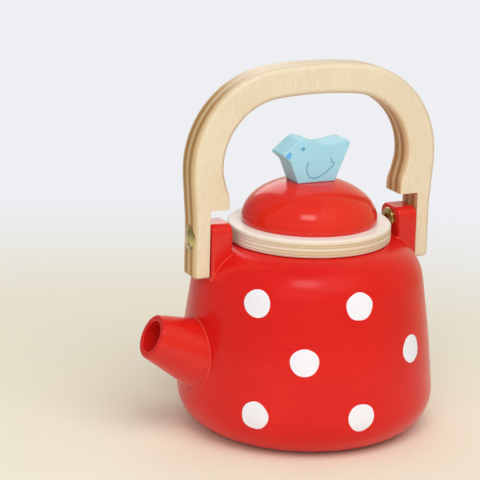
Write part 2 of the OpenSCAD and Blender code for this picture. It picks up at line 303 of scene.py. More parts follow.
@dataclass(frozen=True)
class PrintedPaint(Finish):
    """Paint pressed on with a pad: nearly flat, a little mottled where the film is thin."""

    colour: str
    thin_colour: str
    roughness: float = 0.42
    mottle_mm: float = 2.4
    film_span: tuple[float, float] = (0.25, 0.5)
    relief_mm: float = 0.02

    def shade(self, tree: NodeTree) -> Node:
        """Mottles the colour and the gloss.

        Args:
            tree: The material's node tree.

        Returns:
            The shader node.
        """
        coords = add_node(tree, "TexCoord").outputs["Object"]
        mottle = add_node(
            tree, "TexNoise", {"Scale": per_metre(self.mottle_mm), "Detail": 3.0}, {"Vector": coords}
        ).outputs["Fac"]
        colour = self.two_tones(tree, mottle, self.film_span, (self.thin_colour, self.colour))
        return self.coat(tree, {"Roughness": self.roughness}, colour, mottle, self.relief_mm)


@dataclass(frozen=True)
class LacqueredPly(Finish):
    """Birch plywood, sanded and lacquered: pale streaked faces, and edges that show the layers.

    A layer looks pale where its grain runs along the surface and brown where the surface cuts the
    grain across, so the stripes swap round a curved edge as they do on the real board.
    """

    stack: Axis
    start_mm: float
    plies_mm: tuple[float, ...]
    face_grain: Axis
    cross_grain: Axis
    pale: str = "#EDDEC0"
    streak: str = "#E2CDA8"
    # Long grain is tanned where the surface faces across the face grain: partly the browner wood of an edge,
    # partly painted shade on the board's sides
    edge_tan: str = "#D6B07A"
    end_pale: str = "#C4914D"
    end_dark: str = "#A87032"
    glue: str = "#A97F4D"
    roughness: float = 0.42
    relief_mm: float = 0.02
    # Birch grain is finer than this; it is drawn coarse enough to show in the picture
    grain_mm: float = 0.55
    grain_run: float = 9.0
    figure_mm: float = 22.0
    figure_share: float = 0.45
    streak_span: tuple[float, float] = (0.58, 0.98)
    pore_mm: float = 0.7
    pore_span: tuple[float, float] = (0.35, 0.65)
    # How squarely a surface has to face along the grain before it starts to look cut, and wholly so
    cut_span: tuple[float, float] = (0.2, 0.9)
    # How strong that tan, partly painted shade, gets at most
    tan_share: float = 0.85
    # The end grain of the layers that run with the face grain shows only at this share, which keeps the
    # handle's top edges pale: painted light from above
    face_cut: float = 0.4
    # A glue line is about 0.1 mm; it is drawn wider so that it shows
    glue_mm: float = 0.5
    seam_mm: float = 0.35

    def layer_stops(self) -> tuple[list[tuple], list[tuple]]:
        """Lists the stops of two ramps over the stack of layers.

        Returns:
            The stops of the ramp that is white on every other layer, whose grain runs crosswise,
            and of the one that is white on the glue lines.
        """
        total = sum(self.plies_mm)
        half_seam, half_line = self.seam_mm / 2 / total, self.glue_mm / 2 / total
        black, white = (0, 0, 0, 1), (1, 1, 1, 1)
        crosswise, lines = [(0.0, black)], [(0.0, black)]
        for i in range(1, len(self.plies_mm)):
            edge = sum(self.plies_mm[:i]) / total
            below, above = (black, white) if i % 2 else (white, black)
            crosswise += [(edge - half_seam, below), (edge + half_seam, above)]
            lines += [(edge - half_line, black), (edge, white), (edge + half_line, black)]
        return crosswise, lines

    def streaks(self, tree: NodeTree, coords: NodeSocket, grain: Axis) -> NodeSocket:
        """Adds grain lines that run along one axis.

        Args:
            tree: The material's node tree.
            coords: The coordinates to draw them in.
            grain: The axis that they run along.

        Returns:
            The lines' value.
        """
        scale = [1.0, 1.0, 1.0]
        scale[grain.value] = 1 / self.grain_run
        along = add_node(tree, "Mapping", {"Scale": tuple(scale)}, {"Vector": coords})
        return add_node(
            tree, "TexNoise",
            {"Scale": per_metre(self.grain_mm), "Detail": 5.0, "Roughness": 0.65, "Distortion": 0.3},
            {"Vector": along.outputs[0]},
        ).outputs["Fac"]

    def shade(self, tree: NodeTree) -> Node:
        """Finds the layer and how its grain meets the surface, and colours it so; sides that face across the
        face grain get a tan that is partly painted shade.

        Args:
            tree: The material's node tree.

        Returns:
            The shader node.
        """
        coordinate = add_node(tree, "TexCoord")
        coords = coordinate.outputs["Object"]
        place = add_node(tree, "SeparateXYZ", links={0: coords})
        facing = add_node(tree, "SeparateXYZ", links={0: coordinate.outputs["Normal"]})
        level = add_node(
            tree, "MapRange",
            {"From Min": self.start_mm * MM, "From Max": (self.start_mm + sum(self.plies_mm)) * MM},
            {"Value": place.outputs[self.stack.value]},
        )
        crosswise, glue = (
            add_node(tree, "ValToRGB", {"stops": stops}, {0: level.outputs[0]}).outputs[0]
            for stops in self.layer_stops()
        )
        grains = (self.face_grain, self.cross_grain)
        along, aside = (
            add_node(tree, "Math", {"operation": "ABSOLUTE"}, {0: facing.outputs[grain.value]}).outputs[0]
            for grain in grains
        )
        # Weakens the end grain of the face-grain layers: on the handle, painted light on the top edges
        faint = add_node(tree, "Math", {"operation": "MULTIPLY", 1: self.face_cut}, {0: along})
        cut = add_node(
            tree, "Mix", links={0: crosswise, NUMBER_A: faint.outputs[0], NUMBER_B: aside}
        )
        cut_from, cut_to = self.cut_span
        soft_step = {"interpolation_type": "SMOOTHSTEP", "From Min": cut_from, "From Max": cut_to}
        end = add_node(tree, "MapRange", soft_step, {"Value": cut.outputs[0]})
        face_lines, cross_lines = (self.streaks(tree, coords, grain) for grain in grains)
        lines = add_node(
            tree, "Mix", links={0: crosswise, NUMBER_A: face_lines, NUMBER_B: cross_lines}
        ).outputs[0]
        figure = add_node(
            tree, "TexNoise", {"Scale": per_metre(self.figure_mm), "Detail": 2.0}, {"Vector": coords}
        )
        figured = add_node(
            tree, "Math", {"operation": "MULTIPLY_ADD", 1: self.figure_share},
            {0: figure.outputs["Fac"], 2: lines},
        )
        long_grain = self.two_tones(tree, figured.outputs[0], self.streak_span, (self.pale, self.streak))
        # Tans the long grain where the surface faces along the cross grain: browner edge wood together with
        # painted shade on the sides
        on_edge = add_node(tree, "MapRange", {**soft_step, "To Max": self.tan_share}, {"Value": aside})
        tanned_and_shaded = add_node(
            tree, "Mix", {"data_type": "RGBA", COLOUR_B: to_linear(self.edge_tan)},
            {0: on_edge.outputs[0], COLOUR_A: long_grain},
        )
        pores = add_node(
            tree, "TexNoise", {"Scale": per_metre(self.pore_mm), "Detail": 3.0}, {"Vector": coords}
        )
        end_grain = self.two_tones(
            tree, pores.outputs["Fac"], self.pore_span, (self.end_pale, self.end_dark)
        )
        wood = add_node(
            tree, "Mix", {"data_type": "RGBA"},
            {0: end.outputs[0], COLOUR_A: tanned_and_shaded.outputs[COLOUR_OUT], COLOUR_B: end_grain},
        )
        glued = add_node(
            tree, "Mix", {"data_type": "RGBA", COLOUR_B: to_linear(self.glue)},
            {0: glue, COLOUR_A: wood.outputs[COLOUR_OUT]},
        )
        settings = {"Roughness": self.roughness}
        return self.coat(tree, settings, glued.outputs[COLOUR_OUT], lines, self.relief_mm)


@dataclass(frozen=True)
class SatinPaint(Finish):
    """Thin satin paint on sanded board: even, with a trace of fibre lines in the surface."""

    colour: str
    shade_colour: str
    roughness: float = 0.5
    fibre_mm: float = 0.8
    fibre_run: float = 12.0
    fibre_span: tuple[float, float] = (0.35, 0.6)
    relief_mm: float = 0.01

    def shade(self, tree: NodeTree) -> Node:
        """Draws the fibre lines along X, the way the board was cut.

        Args:
            tree: The material's node tree.

        Returns:
            The shader node.
        """
        coords = add_node(tree, "TexCoord").outputs["Object"]
        along = add_node(tree, "Mapping", {"Scale": (1 / self.fibre_run, 1, 1)}, {"Vector": coords})
        fibre = add_node(
            tree, "TexNoise", {"Scale": per_metre(self.fibre_mm), "Detail": 4.0},
            {"Vector": along.outputs[0]},
        ).outputs["Fac"]
        colour = self.two_tones(tree, fibre, self.fibre_span, (self.shade_colour, self.colour))
        return self.coat(tree, {"Roughness": self.roughness}, colour, fibre, self.relief_mm)


@dataclass(frozen=True)
class ChromatedZinc(Finish):
    """Zinc plate passivated yellow: a thin metal film that drifts from olive over pale gold to tan."""

    tints: tuple[str, ...]
    roughness: float = 0.2
    drift_mm: float = 3.5
    drift_span: tuple[float, float] = (0.3, 0.7)
    relief_mm: float = 0.04

    def shade(self, tree: NodeTree) -> Node:
        """Drifts the tint over the metal, and ripples the plate with it.

        Args:
            tree: The material's node tree.

        Returns:
            The shader node.
        """
        coords = add_node(tree, "TexCoord").outputs["Object"]
        drift = add_node(
            tree, "TexNoise", {"Scale": per_metre(self.drift_mm), "Detail": 2.0}, {"Vector": coords}
        ).outputs["Fac"]
        places = np.linspace(*self.drift_span, len(self.tints))
        stops = [(place, to_linear(tint)) for place, tint in zip(places, self.tints)]
        tint = add_node(tree, "ValToRGB", {"stops": stops}, {0: drift}).outputs[0]
        settings = {"Metallic": 1.0, "Roughness": self.roughness}
        return self.coat(tree, settings, tint, drift, self.relief_mm)


@dataclass(frozen=True)
class BareBeech(Finish):
    """Bare beech dowel: pinkish tan, with short dark rays along its length."""

    pale: str = "#DDBE90"
    ray: str = "#B98F5C"
    roughness: float = 0.65
    ray_mm: float = 0.5
    ray_squeeze: float = 0.15
    ray_span: tuple[float, float] = (0.5, 0.7)

    def shade(self, tree: NodeTree) -> Node:
        """Draws the rays along Z, the dowels' length.

        Args:
            tree: The material's node tree.

        Returns:
            The shader node.
        """
        coords = add_node(tree, "TexCoord").outputs["Object"]
        along = add_node(tree, "Mapping", {"Scale": (1, 1, self.ray_squeeze)}, {"Vector": coords})
        rays = add_node(
            tree, "TexNoise", {"Scale": per_metre(self.ray_mm), "Detail": 3.0},
            {"Vector": along.outputs[0]},
        )
        colour = self.two_tones(tree, rays.outputs["Fac"], self.ray_span, (self.pale, self.ray))
        return add_node(tree, "BsdfPrincipled", {"Roughness": self.roughness}, {"Base Color": colour})


# Shapes

# How many sides a turned piece has, and a large one
SIDES = 144
LARGE_SIDES = 180
# Edges that turn by more than this stay crisp
SHARP_DEG = 32.0
# Points nearer than the first length become one, and edges shorter than the second go
WELD_MM = 0.002
SLIVER_MM = 0.0005


def unit(vectors: np.ndarray) -> np.ndarray:
    """Scales vectors to a length of one."""
    return vectors / np.linalg.norm(vectors, axis=-1, keepdims=True)


def round_turns(count: int) -> np.ndarray:
    """Gives equally spaced angles, once round."""
    return np.linspace(0, math.tau, count, endpoint=False)


def on_circle(turns: np.ndarray) -> np.ndarray:
    """Gives the points of a circle of radius one at some angles."""
    return np.stack((np.cos(turns), np.sin(turns)), -1)


def rounded(
    corners: list[tuple[float, float, float]], closed: bool = False, step_deg: float = 3.0
) -> np.ndarray:
    """Draws a polyline whose corners are rounded to arcs.

    Args:
        corners: Each corner as x, y and its rounding.
        closed: Whether the last corner joins the first.
        step_deg: The largest turn between two points of an arc.

    Returns:
        The points, one row each.
    """
    points = []
    last = len(corners) - 1
    for i, (x, y, rounding) in enumerate(corners):
        here = np.array((x, y))
        if rounding == 0 or (not closed and i in (0, last)):
            points.append(here)
            continue
        back = np.array(corners[i - 1][:2]) - here
        on = np.array(corners[(i + 1) % len(corners)][:2]) - here
        half = math.acos(np.clip(unit(back) @ unit(on), -1, 1)) / 2
        fit = min(rounding, min(np.linalg.norm(back), np.linalg.norm(on)) * math.tan(half))
        centre = here + unit(unit(back) + unit(on)) * fit / math.sin(half)
        start = here + unit(back) * fit / math.tan(half) - centre
        end = here + unit(on) * fit / math.tan(half) - centre
        first = math.atan2(start[1], start[0])
        turn = (math.atan2(end[1], end[0]) - first + math.pi) % math.tau - math.pi
        steps = max(3, math.ceil(abs(math.degrees(turn)) / step_deg))
        points.extend(centre + fit * on_circle(first + turn * np.linspace(0, 1, steps + 1)))
    return np.array(points)


def spaced(line: np.ndarray, step: float = 2.0) -> np.ndarray:
    """Adds points to a polyline.

    Args:
        line: The polyline's points.
        step: The furthest that two of the new line's points lie apart.

    Returns:
        The new line's points.
    """
    points = [line[0]]
    for a, b in zip(line[:-1], line[1:]):
        count = max(1, math.ceil(np.linalg.norm(b - a) / step))
        points.extend(a + (b - a) * k / count for k in range(1, count + 1))
    return np.array(points)


def turned(profile: np.ndarray, sides: int = SIDES) -> np.ndarray:
    """Turns a profile about Z.

    Args:
        profile: Radius and height, one row each.
        sides: How many sides the round has.

    Returns:
        Rings of points, one ring for each row of the profile.
    """
    flat = profile[:, None, :1] * on_circle(round_turns(sides))
    return np.concatenate((flat, np.broadcast_to(profile[:, None, 1:], (*flat.shape[:2], 1))), -1)


def stood_on(
    points: np.ndarray, origin: tuple[float, ...], along: tuple[float, ...]
) -> np.ndarray:
    """Moves points from the Z axis to another axis.

    Args:
        points: Points about Z.
        origin: Where the origin goes.
        along: The direction that Z takes.

    Returns:
        The moved points.
    """
    turn = np.array(Vector((0, 0, 1)).rotation_difference(Vector(along)).to_matrix())
    return points @ turn.T + np.array(origin)


def tube(loop: np.ndarray, normals: np.ndarray, radius: float, sides: int = 8) -> np.ndarray:
    """Draws a thin tube along a closed line.

    Args:
        loop: The line's points; the last joins the first.
        normals: A direction across the line at each point.
        radius: The tube's radius.
        sides: How many sides it has.

    Returns:
        Its rings, the first one again at the end.
    """
    along = unit(np.roll(loop, -1, axis=0) - np.roll(loop, 1, axis=0))
    across = unit(np.cross(along, normals))
    up = np.cross(across, along)
    lines = [loop + radius * (x * across + y * up) for x, y in on_circle(round_turns(sides))]
    rings = np.stack(lines, 1)
    return np.concatenate((rings, rings[:1]))


def curve_through(points: list[tuple[float, float]], steps: int = 10) -> np.ndarray:
    """Draws a smooth line through a few points.

    Args:
        points: The points that it passes, in order.
        steps: How many pieces each stretch is drawn in.

    Returns:
        The line's points.
    """
    knots = np.array([points[0], *points, points[-1]], float)
    line = []
    for a, b, c, d in zip(knots, knots[1:], knots[2:], knots[3:]):
        for t in np.linspace(0, 1, steps, endpoint=False):
            bend = 2 * a - 5 * b + 4 * c - d
            twist = 3 * b - a - 3 * c + d
            line.append(0.5 * (2 * b + (c - a) * t + bend * t**2 + twist * t**3))
    return np.array([*line, knots[-1]])


def box_mm(node: str) -> tuple[np.ndarray, np.ndarray]:
    """Gives the low and the high corner of a node's box, in millimetres."""
    low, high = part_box(node)
    return np.array(low) / MM, np.array(high) / MM


def end_span(node: str) -> tuple[float, float, float]:
    """Measures a node that lies at one end of the kettle.

    Args:
        node: The node's name.

    Returns:
        Its nearest and furthest distance from the axis along X, and the height of its middle.
    """
    low, high = box_mm(node)
    inner, outer = sorted((abs(low[0]), abs(high[0])))
    return inner, outer, (low[2] + high[2]) / 2


def placed(name: str, data: ID) -> Object:
    """Adds an object to the scene.

    Args:
        name: The object's name.
        data: Its mesh, lamp or camera.

    Returns:
        The new object.
    """
    made = bpy.data.objects.new(name, data)
    bpy.context.scene.collection.objects.link(made)
    return made


class Draft:
    """Collects faces in millimetres and makes them one welded, smooth mesh."""

    def __init__(self) -> None:
        """Starts with no faces."""
        self.points: list[np.ndarray] = []
        self.faces: list[list[int]] = []
        self.count = 0

    def add_points(self, points: np.ndarray) -> int:
        """Adds points without faces.

        Args:
            points: Any number of points.

        Returns:
            The index of the first.
        """
        first = self.count
        self.points.append(points.reshape(-1, 3))
        self.count += len(self.points[-1])
        return first

    def strip(self, rings: np.ndarray, closed: bool = True) -> Self:
        """Adds the faces between successive rings.

        Args:
            rings: Rings of equally many points.
            closed: Whether each ring's last point joins its first.

        Returns:
            The draft itself.
        """
        rows, n = rings.shape[:2]
        first = self.add_points(rings)
        for i in range(rows - 1):
            for j in range(n if closed else n - 1):
                a = first + i * n + j
                b = first + i * n + (j + 1) % n
                self.faces.append([a, b, b + n, a + n])
        return self

    def caps(self, *outlines: np.ndarray) -> Self:
        """Adds one face for each outline.

        Args:
            outlines: The faces' outlines.

        Returns:
            The draft itself.
        """
        for outline in outlines:
            first = self.add_points(outline)
            self.faces.append(list(range(first, first + len(outline))))
        return self

    def moved_to(self, end: End) -> Self:
        """Mirrors a draft that was drawn at the rear end, if it belongs at the front."""
        self.points = [points * (end.value, 1, 1) for points in self.points]
        return self

    def mesh_object(self, name: str) -> Object:
        """Welds the faces into a new object, with no shading set yet.

        Args:
            name: The object's name.

        Returns:
            The object, in the scene.
        """
        mesh = bpy.data.meshes.new(name)
        mesh.from_pydata((np.concatenate(self.points) * MM).tolist(), [], self.faces)
        welded = bmesh.new()
        welded.from_mesh(mesh)
        bmesh.ops.remove_doubles(welded, verts=welded.verts, dist=WELD_MM * MM)
        bmesh.ops.dissolve_degenerate(welded, edges=welded.edges, dist=SLIVER_MM * MM)
        bmesh.ops.recalc_face_normals(welded, faces=welded.faces)
        welded.to_mesh(mesh)
        welded.free()
        return placed(name, mesh)

    def finished(self, name: str, sharp_deg: float = SHARP_DEG) -> Object:
        """Welds the faces into a new object with smooth shading and crisp edges."""
        return smoothed(self.mesh_object(name), sharp_deg)


def smoothed(piece: Object, sharp_deg: float) -> Object:
    """Shades a piece smooth, and keeps its flats flat.

    Args:
        piece: The piece.
        sharp_deg: Edges that turn by more than this stay crisp.

    Returns:
        The piece.
    """
    piece.data.shade_smooth()
    piece.data.set_sharp_from_angle(angle=math.radians(sharp_deg))
    weighted = piece.modifiers.new("flat_faces", "WEIGHTED_NORMAL")
    weighted.keep_sharp = True
    return piece


def cut_away(piece: Object, cutter: Object) -> None:
    """Cuts one mesh out of another and removes the cutter.

    Args:
        piece: The object that is cut.
        cutter: The object that is taken away.
    """
    cut = piece.modifiers.new("cut", "BOOLEAN")
    cut.operation = "DIFFERENCE"
    cut.solver = "EXACT"
    cut.object = cutter
    bpy.context.view_layer.update()
    done = piece.evaluated_get(bpy.context.evaluated_depsgraph_get())
    mesh = bpy.data.meshes.new_from_object(done)
    piece.modifiers.remove(cut)
    piece.data = mesh
    bpy.data.objects.remove(cutter)


def dress(piece: Object, finish: Finish, body: Body, *nodes: str) -> None:
    """Gives a piece its finish, the body it rides on and the nodes that it stands for.

    Args:
        piece: The new piece, in place.
        finish: What it is finished in.
        body: The body that it moves with.
        nodes: The frame's nodes that it replaces.
    """
    piece.data.materials.clear()
    piece.data.materials.append(finish.material())
    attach(piece, body.value)
    if nodes:
        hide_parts(*nodes)
    log.info("%s rides on %s in %s", piece.name, body.value, finish.name)


def refinish(node: str, finish: Finish) -> None:
    """Keeps a node's own shape and gives it a better finish.

    Args:
        node: The node's name.
        finish: What it is finished in.
    """
    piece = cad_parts[node]
    piece.data.materials.clear()
    piece.data.materials.append(finish.material())
    log.info("%s keeps its shape, in %s", node, finish.name)


# The kettle's finishes

# Brushed on the turned pot: a deep red whose fine marks soften the highlights
POT_ENAMEL = GlossEnamel(
    "brushed_red_enamel", Slot.RED, "#E11E18", "#D71813", 0.24, relief_mm=0.01, gloss=0.3
)
# Pooled where pieces meet: a red line painted paler than the pot as a painted highlight, glossy enough to
# shine like glass
BEAD_ENAMEL = GlossEnamel("pooled_red_enamel", Slot.RED, "#EB473A", "#E63C31", 0.12, relief_mm=0.002)
# Dipped, on the spout and the ears: smoother than the pot, so that their edges catch the light
DIPPED_ENAMEL = GlossEnamel(
    "dipped_red_enamel", Slot.RED, "#DE2119", "#D51B15", 0.16, relief_mm=0.006, peel_mm=6.0
)
# Sprayed on the dome: the brightest red, with a small clear highlight
DOME_ENAMEL = GlossEnamel(
    "sprayed_red_enamel", Slot.RED, "#E42A19", "#DD2418", 0.15, relief_mm=0.006, peel_mm=6.0
)
# Pressed on the pot with a pad: a flat white that hardly shines
DOT_PAINT = PrintedPaint("pad_printed_white_paint", Slot.WHITE, "#F3F1F6", "#F0EDF2")
# Pressed on the bird with a pad: thin blue lines, paler where the ink is thin, and a bluer beak
PRINT_INK = PrintedPaint("pad_printed_blue_ink", Slot.BLUE, "#5FA9CB", "#7BBAD6", mottle_mm=0.8)
BEAK_INK = PrintedPaint("pad_printed_beak_ink", Slot.BLUE, "#62B4EA", "#7CC0EC", mottle_mm=0.8)
# Satin paint on the bird's board: a soft pale blue
BIRD_PAINT = SatinPaint("satin_blue_paint", Slot.BLUE, "#A9DEEB", "#A3DAE8")
# Yellow zinc plate on bolts, nuts, washers and screw: a greenish gold that mirrors the room softly
ZINC = ChromatedZinc("yellow_chromated_zinc", Slot.ZINC, ("#A29F5E", "#D6C982", "#BFA35F"))
# Bare wood on the dowels: a dry tan without gloss
BEECH = BareBeech("bare_beech", Slot.BEECH)


# The pot


@dataclass
class PotShape:
    """The turned pot's outline, which its body, dots, spout and ears all follow."""

    height: float = box_mm("pot_body")[1][Axis.Z.value]
    foot_r: float = 57.2
    waist_in: float = 3.75
    waist_z: float = 40.5
    rim_in: float = 9.7
    foot_round: float = 17.0
    waist_round: float = 300.0
    rim_round: float = 18.0
    mouth_r: float = 29.1
    mouth_round: float = 1.2
    floor_t: float = 16.0
    hollow_round: float = 8.0
    side_step: float = 0.5
    side_step_deg: float = 1.5
    bead_sink: float = 0.03
    line: np.ndarray = field(init=False)
    reach: np.ndarray = field(init=False)

    def __post_init__(self) -> None:
        """Works out the outer side, from the foot to the mouth, and the length along it."""
        corners = [(0, 0, 0), *self.side(), (self.mouth_r, self.height, 0)]
        line = spaced(rounded(corners, step_deg=self.side_step_deg), self.side_step)
        self.line = line[np.hypot(*line.T) > self.foot_r - self.foot_round]
        steps = np.hypot(*np.diff(self.line, axis=0).T)
        self.reach = np.concatenate(([0], np.cumsum(steps)))

    def side(self) -> list[tuple[float, float, float]]:
        """Lists the side's corners.

        Returns:
            Each corner's radius, height and rounding, upwards.
        """
        return [
            (self.foot_r, 0, self.foot_round),
            (self.foot_r - self.waist_in, self.waist_z, self.waist_round),
            (self.foot_r - self.rim_in, self.height, self.rim_round),
        ]

    def profile(self) -> np.ndarray:
        """Draws the whole turned profile, hollow and all.

        Returns:
            Radius and height, one row each.
        """
        return spaced(rounded([
            (0, 0, 0),
            *self.side(),
            (self.mouth_r, self.height, self.mouth_round),
            (self.mouth_r, self.floor_t, self.hollow_round),
            (0, self.floor_t, 0),
        ]))

    def nearest(self, points: np.ndarray) -> tuple[np.ndarray, np.ndarray]:
        """Finds the nearest places on the pot's outer side.

        Args:
            points: Any number of points near the side.

        Returns:
            The places on the side, and its outward normals there.
        """
        radius = np.hypot(points[..., 0], points[..., 1])
        flat = np.stack((radius, points[..., 2]), -1)[..., None, :]
        start = self.line[:-1]
        run = np.diff(self.line, axis=0)
        share = np.clip(((flat - start) * run).sum(-1) / (run**2).sum(-1), 0, 1)
        foot = start + share[..., None] * run
        best = ((flat - foot) ** 2).sum(-1).argmin(-1)
        place = np.take_along_axis(foot, best[..., None, None], -2)[..., 0, :]
        out = unit(np.stack((run[:, 1], -run[:, 0]), -1))[best]
        spoke = points[..., :2] / radius[..., None]
        on_side = np.concatenate((spoke * place[..., :1], place[..., 1:]), -1)
        normal = np.concatenate((spoke * out[..., :1], out[..., 1:]), -1)
        return on_side, normal

    def lifted(self, reach: np.ndarray, turn: np.ndarray, lift: float) -> np.ndarray:
        """Gives points near the side.

        Args:
            reach: Length along the side, up from the foot.
            turn: Angle about the axis, from the kettle's left side towards its rear, in radians.
            lift: Height above the surface.

        Returns:
            The points.
        """
        radius = np.interp(reach, self.reach, self.line[:, 0])
        height = np.interp(reach, self.reach, self.line[:, 1])
        flat = np.stack((radius * np.sin(turn), -radius * np.cos(turn), height), -1)
        on_side, normal = self.nearest(flat)
        return on_side + normal * lift

    def bead(
        self, joint: np.ndarray, wall: np.ndarray, out: np.ndarray, width: float, steps: int = 6
    ) -> np.ndarray:
        """Draws the paint bead that fills the corner between a wall and the pot.

        Args:
            joint: Points where the wall meets the pot.
            wall: Directions up the wall, away from the pot.
            out: Directions away from the wall.
            width: How far the bead reaches each way.
            steps: How many faces it has across.

        Returns:
            Rows of points, from just under the pot's surface up to the wall.
        """
        _, normal = self.nearest(joint)
        away = unit(out - (out * normal).sum(-1, keepdims=True) * normal)
        toe, toe_normal = self.nearest(joint + away * width)
        toe = toe - toe_normal * self.bead_sink
        top = joint + wall * width
        rows = []
        for t in np.linspace(0, 1, steps + 1):
            rows.append((1 - t) ** 2 * toe + 2 * t * (1 - t) * joint + t**2 * top)
        return np.array(rows)


@dataclass
class PolkaDots:
    """White dots pressed on the pot's side in three staggered rows, a little uneven."""

    shape: PotShape
    diameter: float = 11.8
    film: float = 0.1
    wobble: float = 0.13
    lobes: tuple[int, ...] = (2, 3, 5)
    seed: int = 11
    # Where the film is drawn, as shares of a dot's radius, and how late it thins towards the edge
    rings: tuple[float, ...] = (0.0, 0.35, 0.7, 0.9, 0.97, 1.0)
    thinning: int = 6
    sides: int = 48
    # Each row's height, and the angles of its dots round the pot
    rows: tuple[tuple[float, tuple[float, ...]], ...] = (
        (65.5, (-51, -1, 68, 118, 168, -142)),
        (43.0, (-27, 30, 82, 132, -176, -126)),
        (19.0, (-48, -1, 68, 118, 168, -142)),
    )

    def dot(self, height: float, turn_deg: float, draw: random.Random) -> np.ndarray:
        """Draws one dot.

        Args:
            height: The height of its middle.
            turn_deg: Where it lies round the pot.
            draw: The random numbers for its edge.

        Returns:
            Rings from its middle over its edge to its underside.
        """
        turns = round_turns(self.sides)
        edge = np.full(self.sides, self.diameter / 2)
        for lobes in self.lobes:
            edge += self.wobble * draw.uniform(-1, 1) * np.cos(lobes * turns + draw.uniform(0, math.tau))
        middle = np.interp(height, self.shape.line[:, 1], self.shape.reach)
        radius = np.interp(height, self.shape.line[:, 1], self.shape.line[:, 0])
        top = [(share, self.film * math.sqrt(1 - share**self.thinning)) for share in self.rings]
        underside = [(1.0, -self.film), (0.0, -self.film)]
        rows = []
        for share, lift in [*top, *underside]:
            across, up = share * edge * on_circle(turns).T
            turn = math.radians(turn_deg) + across / radius
            rows.append(self.shape.lifted(middle + up, turn, lift))
        return np.array(rows)

    def build(self) -> None:
        """Builds all the dots as one printed piece."""
        draw = random.Random(self.seed)
        draft = Draft()
        for height, turns in self.rows:
            for turn_deg in turns:
                draft.strip(self.dot(height, turn_deg, draw))
        dress(draft.finished("polka_dots"), DOT_PAINT, Body.POT)


@dataclass
class Spout:
    """A turned cone, coped and glued to the pot, with a bead of paint round its foot."""

    shape: PotShape
    height: float = 37.3
    tilt_deg: float = 24.4
    length: float = 20.6
    tip_d: float = 18.8
    base_d: float = 28.4
    bore_d: float = 13.6
    bore_l: float = 19.0
    bore_round: float = 0.6
    tip_round: float = 1.2
    mouth_ease: float = 0.5
    mouth_step: float = 3.0
    bead: float = 0.4
    bead_r: float = 0.3
    buried: float = 2.0
    sides: int = 120
    wall_rows: int = 9
    sharp_deg: float = 40.0
    # The joint is searched for from this far inside the pot's side, by this many halvings
    search_in: float = 8.0
    halvings: int = 40
    along: np.ndarray = field(init=False)
    spoke: np.ndarray = field(init=False)
    root: np.ndarray = field(init=False)
    flare: float = field(init=False)

    def __post_init__(self) -> None:
        """Works out the cone's axis, the directions round it, its root on the side and its flare."""
        tilt = math.radians(self.tilt_deg)
        self.along = np.array((-math.cos(tilt), 0, math.sin(tilt)))
        side = np.array((0.0, 1.0, 0.0))
        self.spoke = on_circle(round_turns(self.sides)) @ np.stack((side, np.cross(self.along, side)))
        wall_in = self.shape.waist_in * self.height / self.shape.waist_z
        self.root = np.array((wall_in - self.shape.foot_r, 0, self.height))
        self.flare = (self.base_d - self.tip_d) / 2 / self.length

    def on_cone(self, reach: np.ndarray) -> np.ndarray:
        """Gives the cone's points at a length along its axis, in each direction round it."""
        radius = self.base_d / 2 - self.flare * reach
        return self.root + reach[:, None] * self.along + radius[:, None] * self.spoke

    def joint(self) -> np.ndarray:
        """Finds the line where the cone meets the pot.

        Returns:
            Its points, one in each direction round the cone.
        """
        low = np.full(self.sides, -self.search_in)
        high = np.full(self.sides, self.length)
        for _ in range(self.halvings):
            middle = (low + high) / 2
            points = self.on_cone(middle)
            on_side, normal = self.shape.nearest(points)
            outside = ((points - on_side) * normal).sum(-1) > 0
            high = np.where(outside, middle, high)
            low = np.where(outside, low, middle)
        return self.on_cone(high)

    def build(self) -> None:
        """Builds the spout down to the line where it meets the pot."""
        joint = self.joint()
        climb = unit(self.along - self.flare * self.spoke)
        bead = self.shape.bead(joint, climb, self.spoke, self.bead)
        bore_r, bore_end = self.bore_d / 2, self.length - self.bore_l
        mouth = rounded([
            (0, bore_end, 0),
            (bore_r, bore_end, self.bore_round),
            (bore_r, self.length, self.mouth_ease),
            (self.tip_d / 2, self.length, self.tip_round),
            (self.base_d / 2, 0, 0),
        ], step_deg=9)[:-1]
        rows = [self.root + z * self.along + r * self.spoke for r, z in spaced(mouth, self.mouth_step)]
        wall = np.linspace(rows[-1], bead[-1], self.wall_rows + 1)[1:]
        buried = joint - (self.spoke + climb) * self.buried
        inner = np.broadcast_to(self.root - self.along * self.buried, joint.shape)
        cone = Draft().strip(np.array([*rows, *wall, *bead[-2::-1], buried, inner]))
        bead_line = joint + self.spoke * self.bead_r / 2
        paint = Draft().strip(tube(bead_line, self.shape.nearest(joint)[1], self.bead_r))
        dress(paint.finished("spout_paint_bead"), BEAD_ENAMEL, Body.POT)
        dress(cone.finished("spout_cone", self.sharp_deg), DIPPED_ENAMEL, Body.POT, "spout")


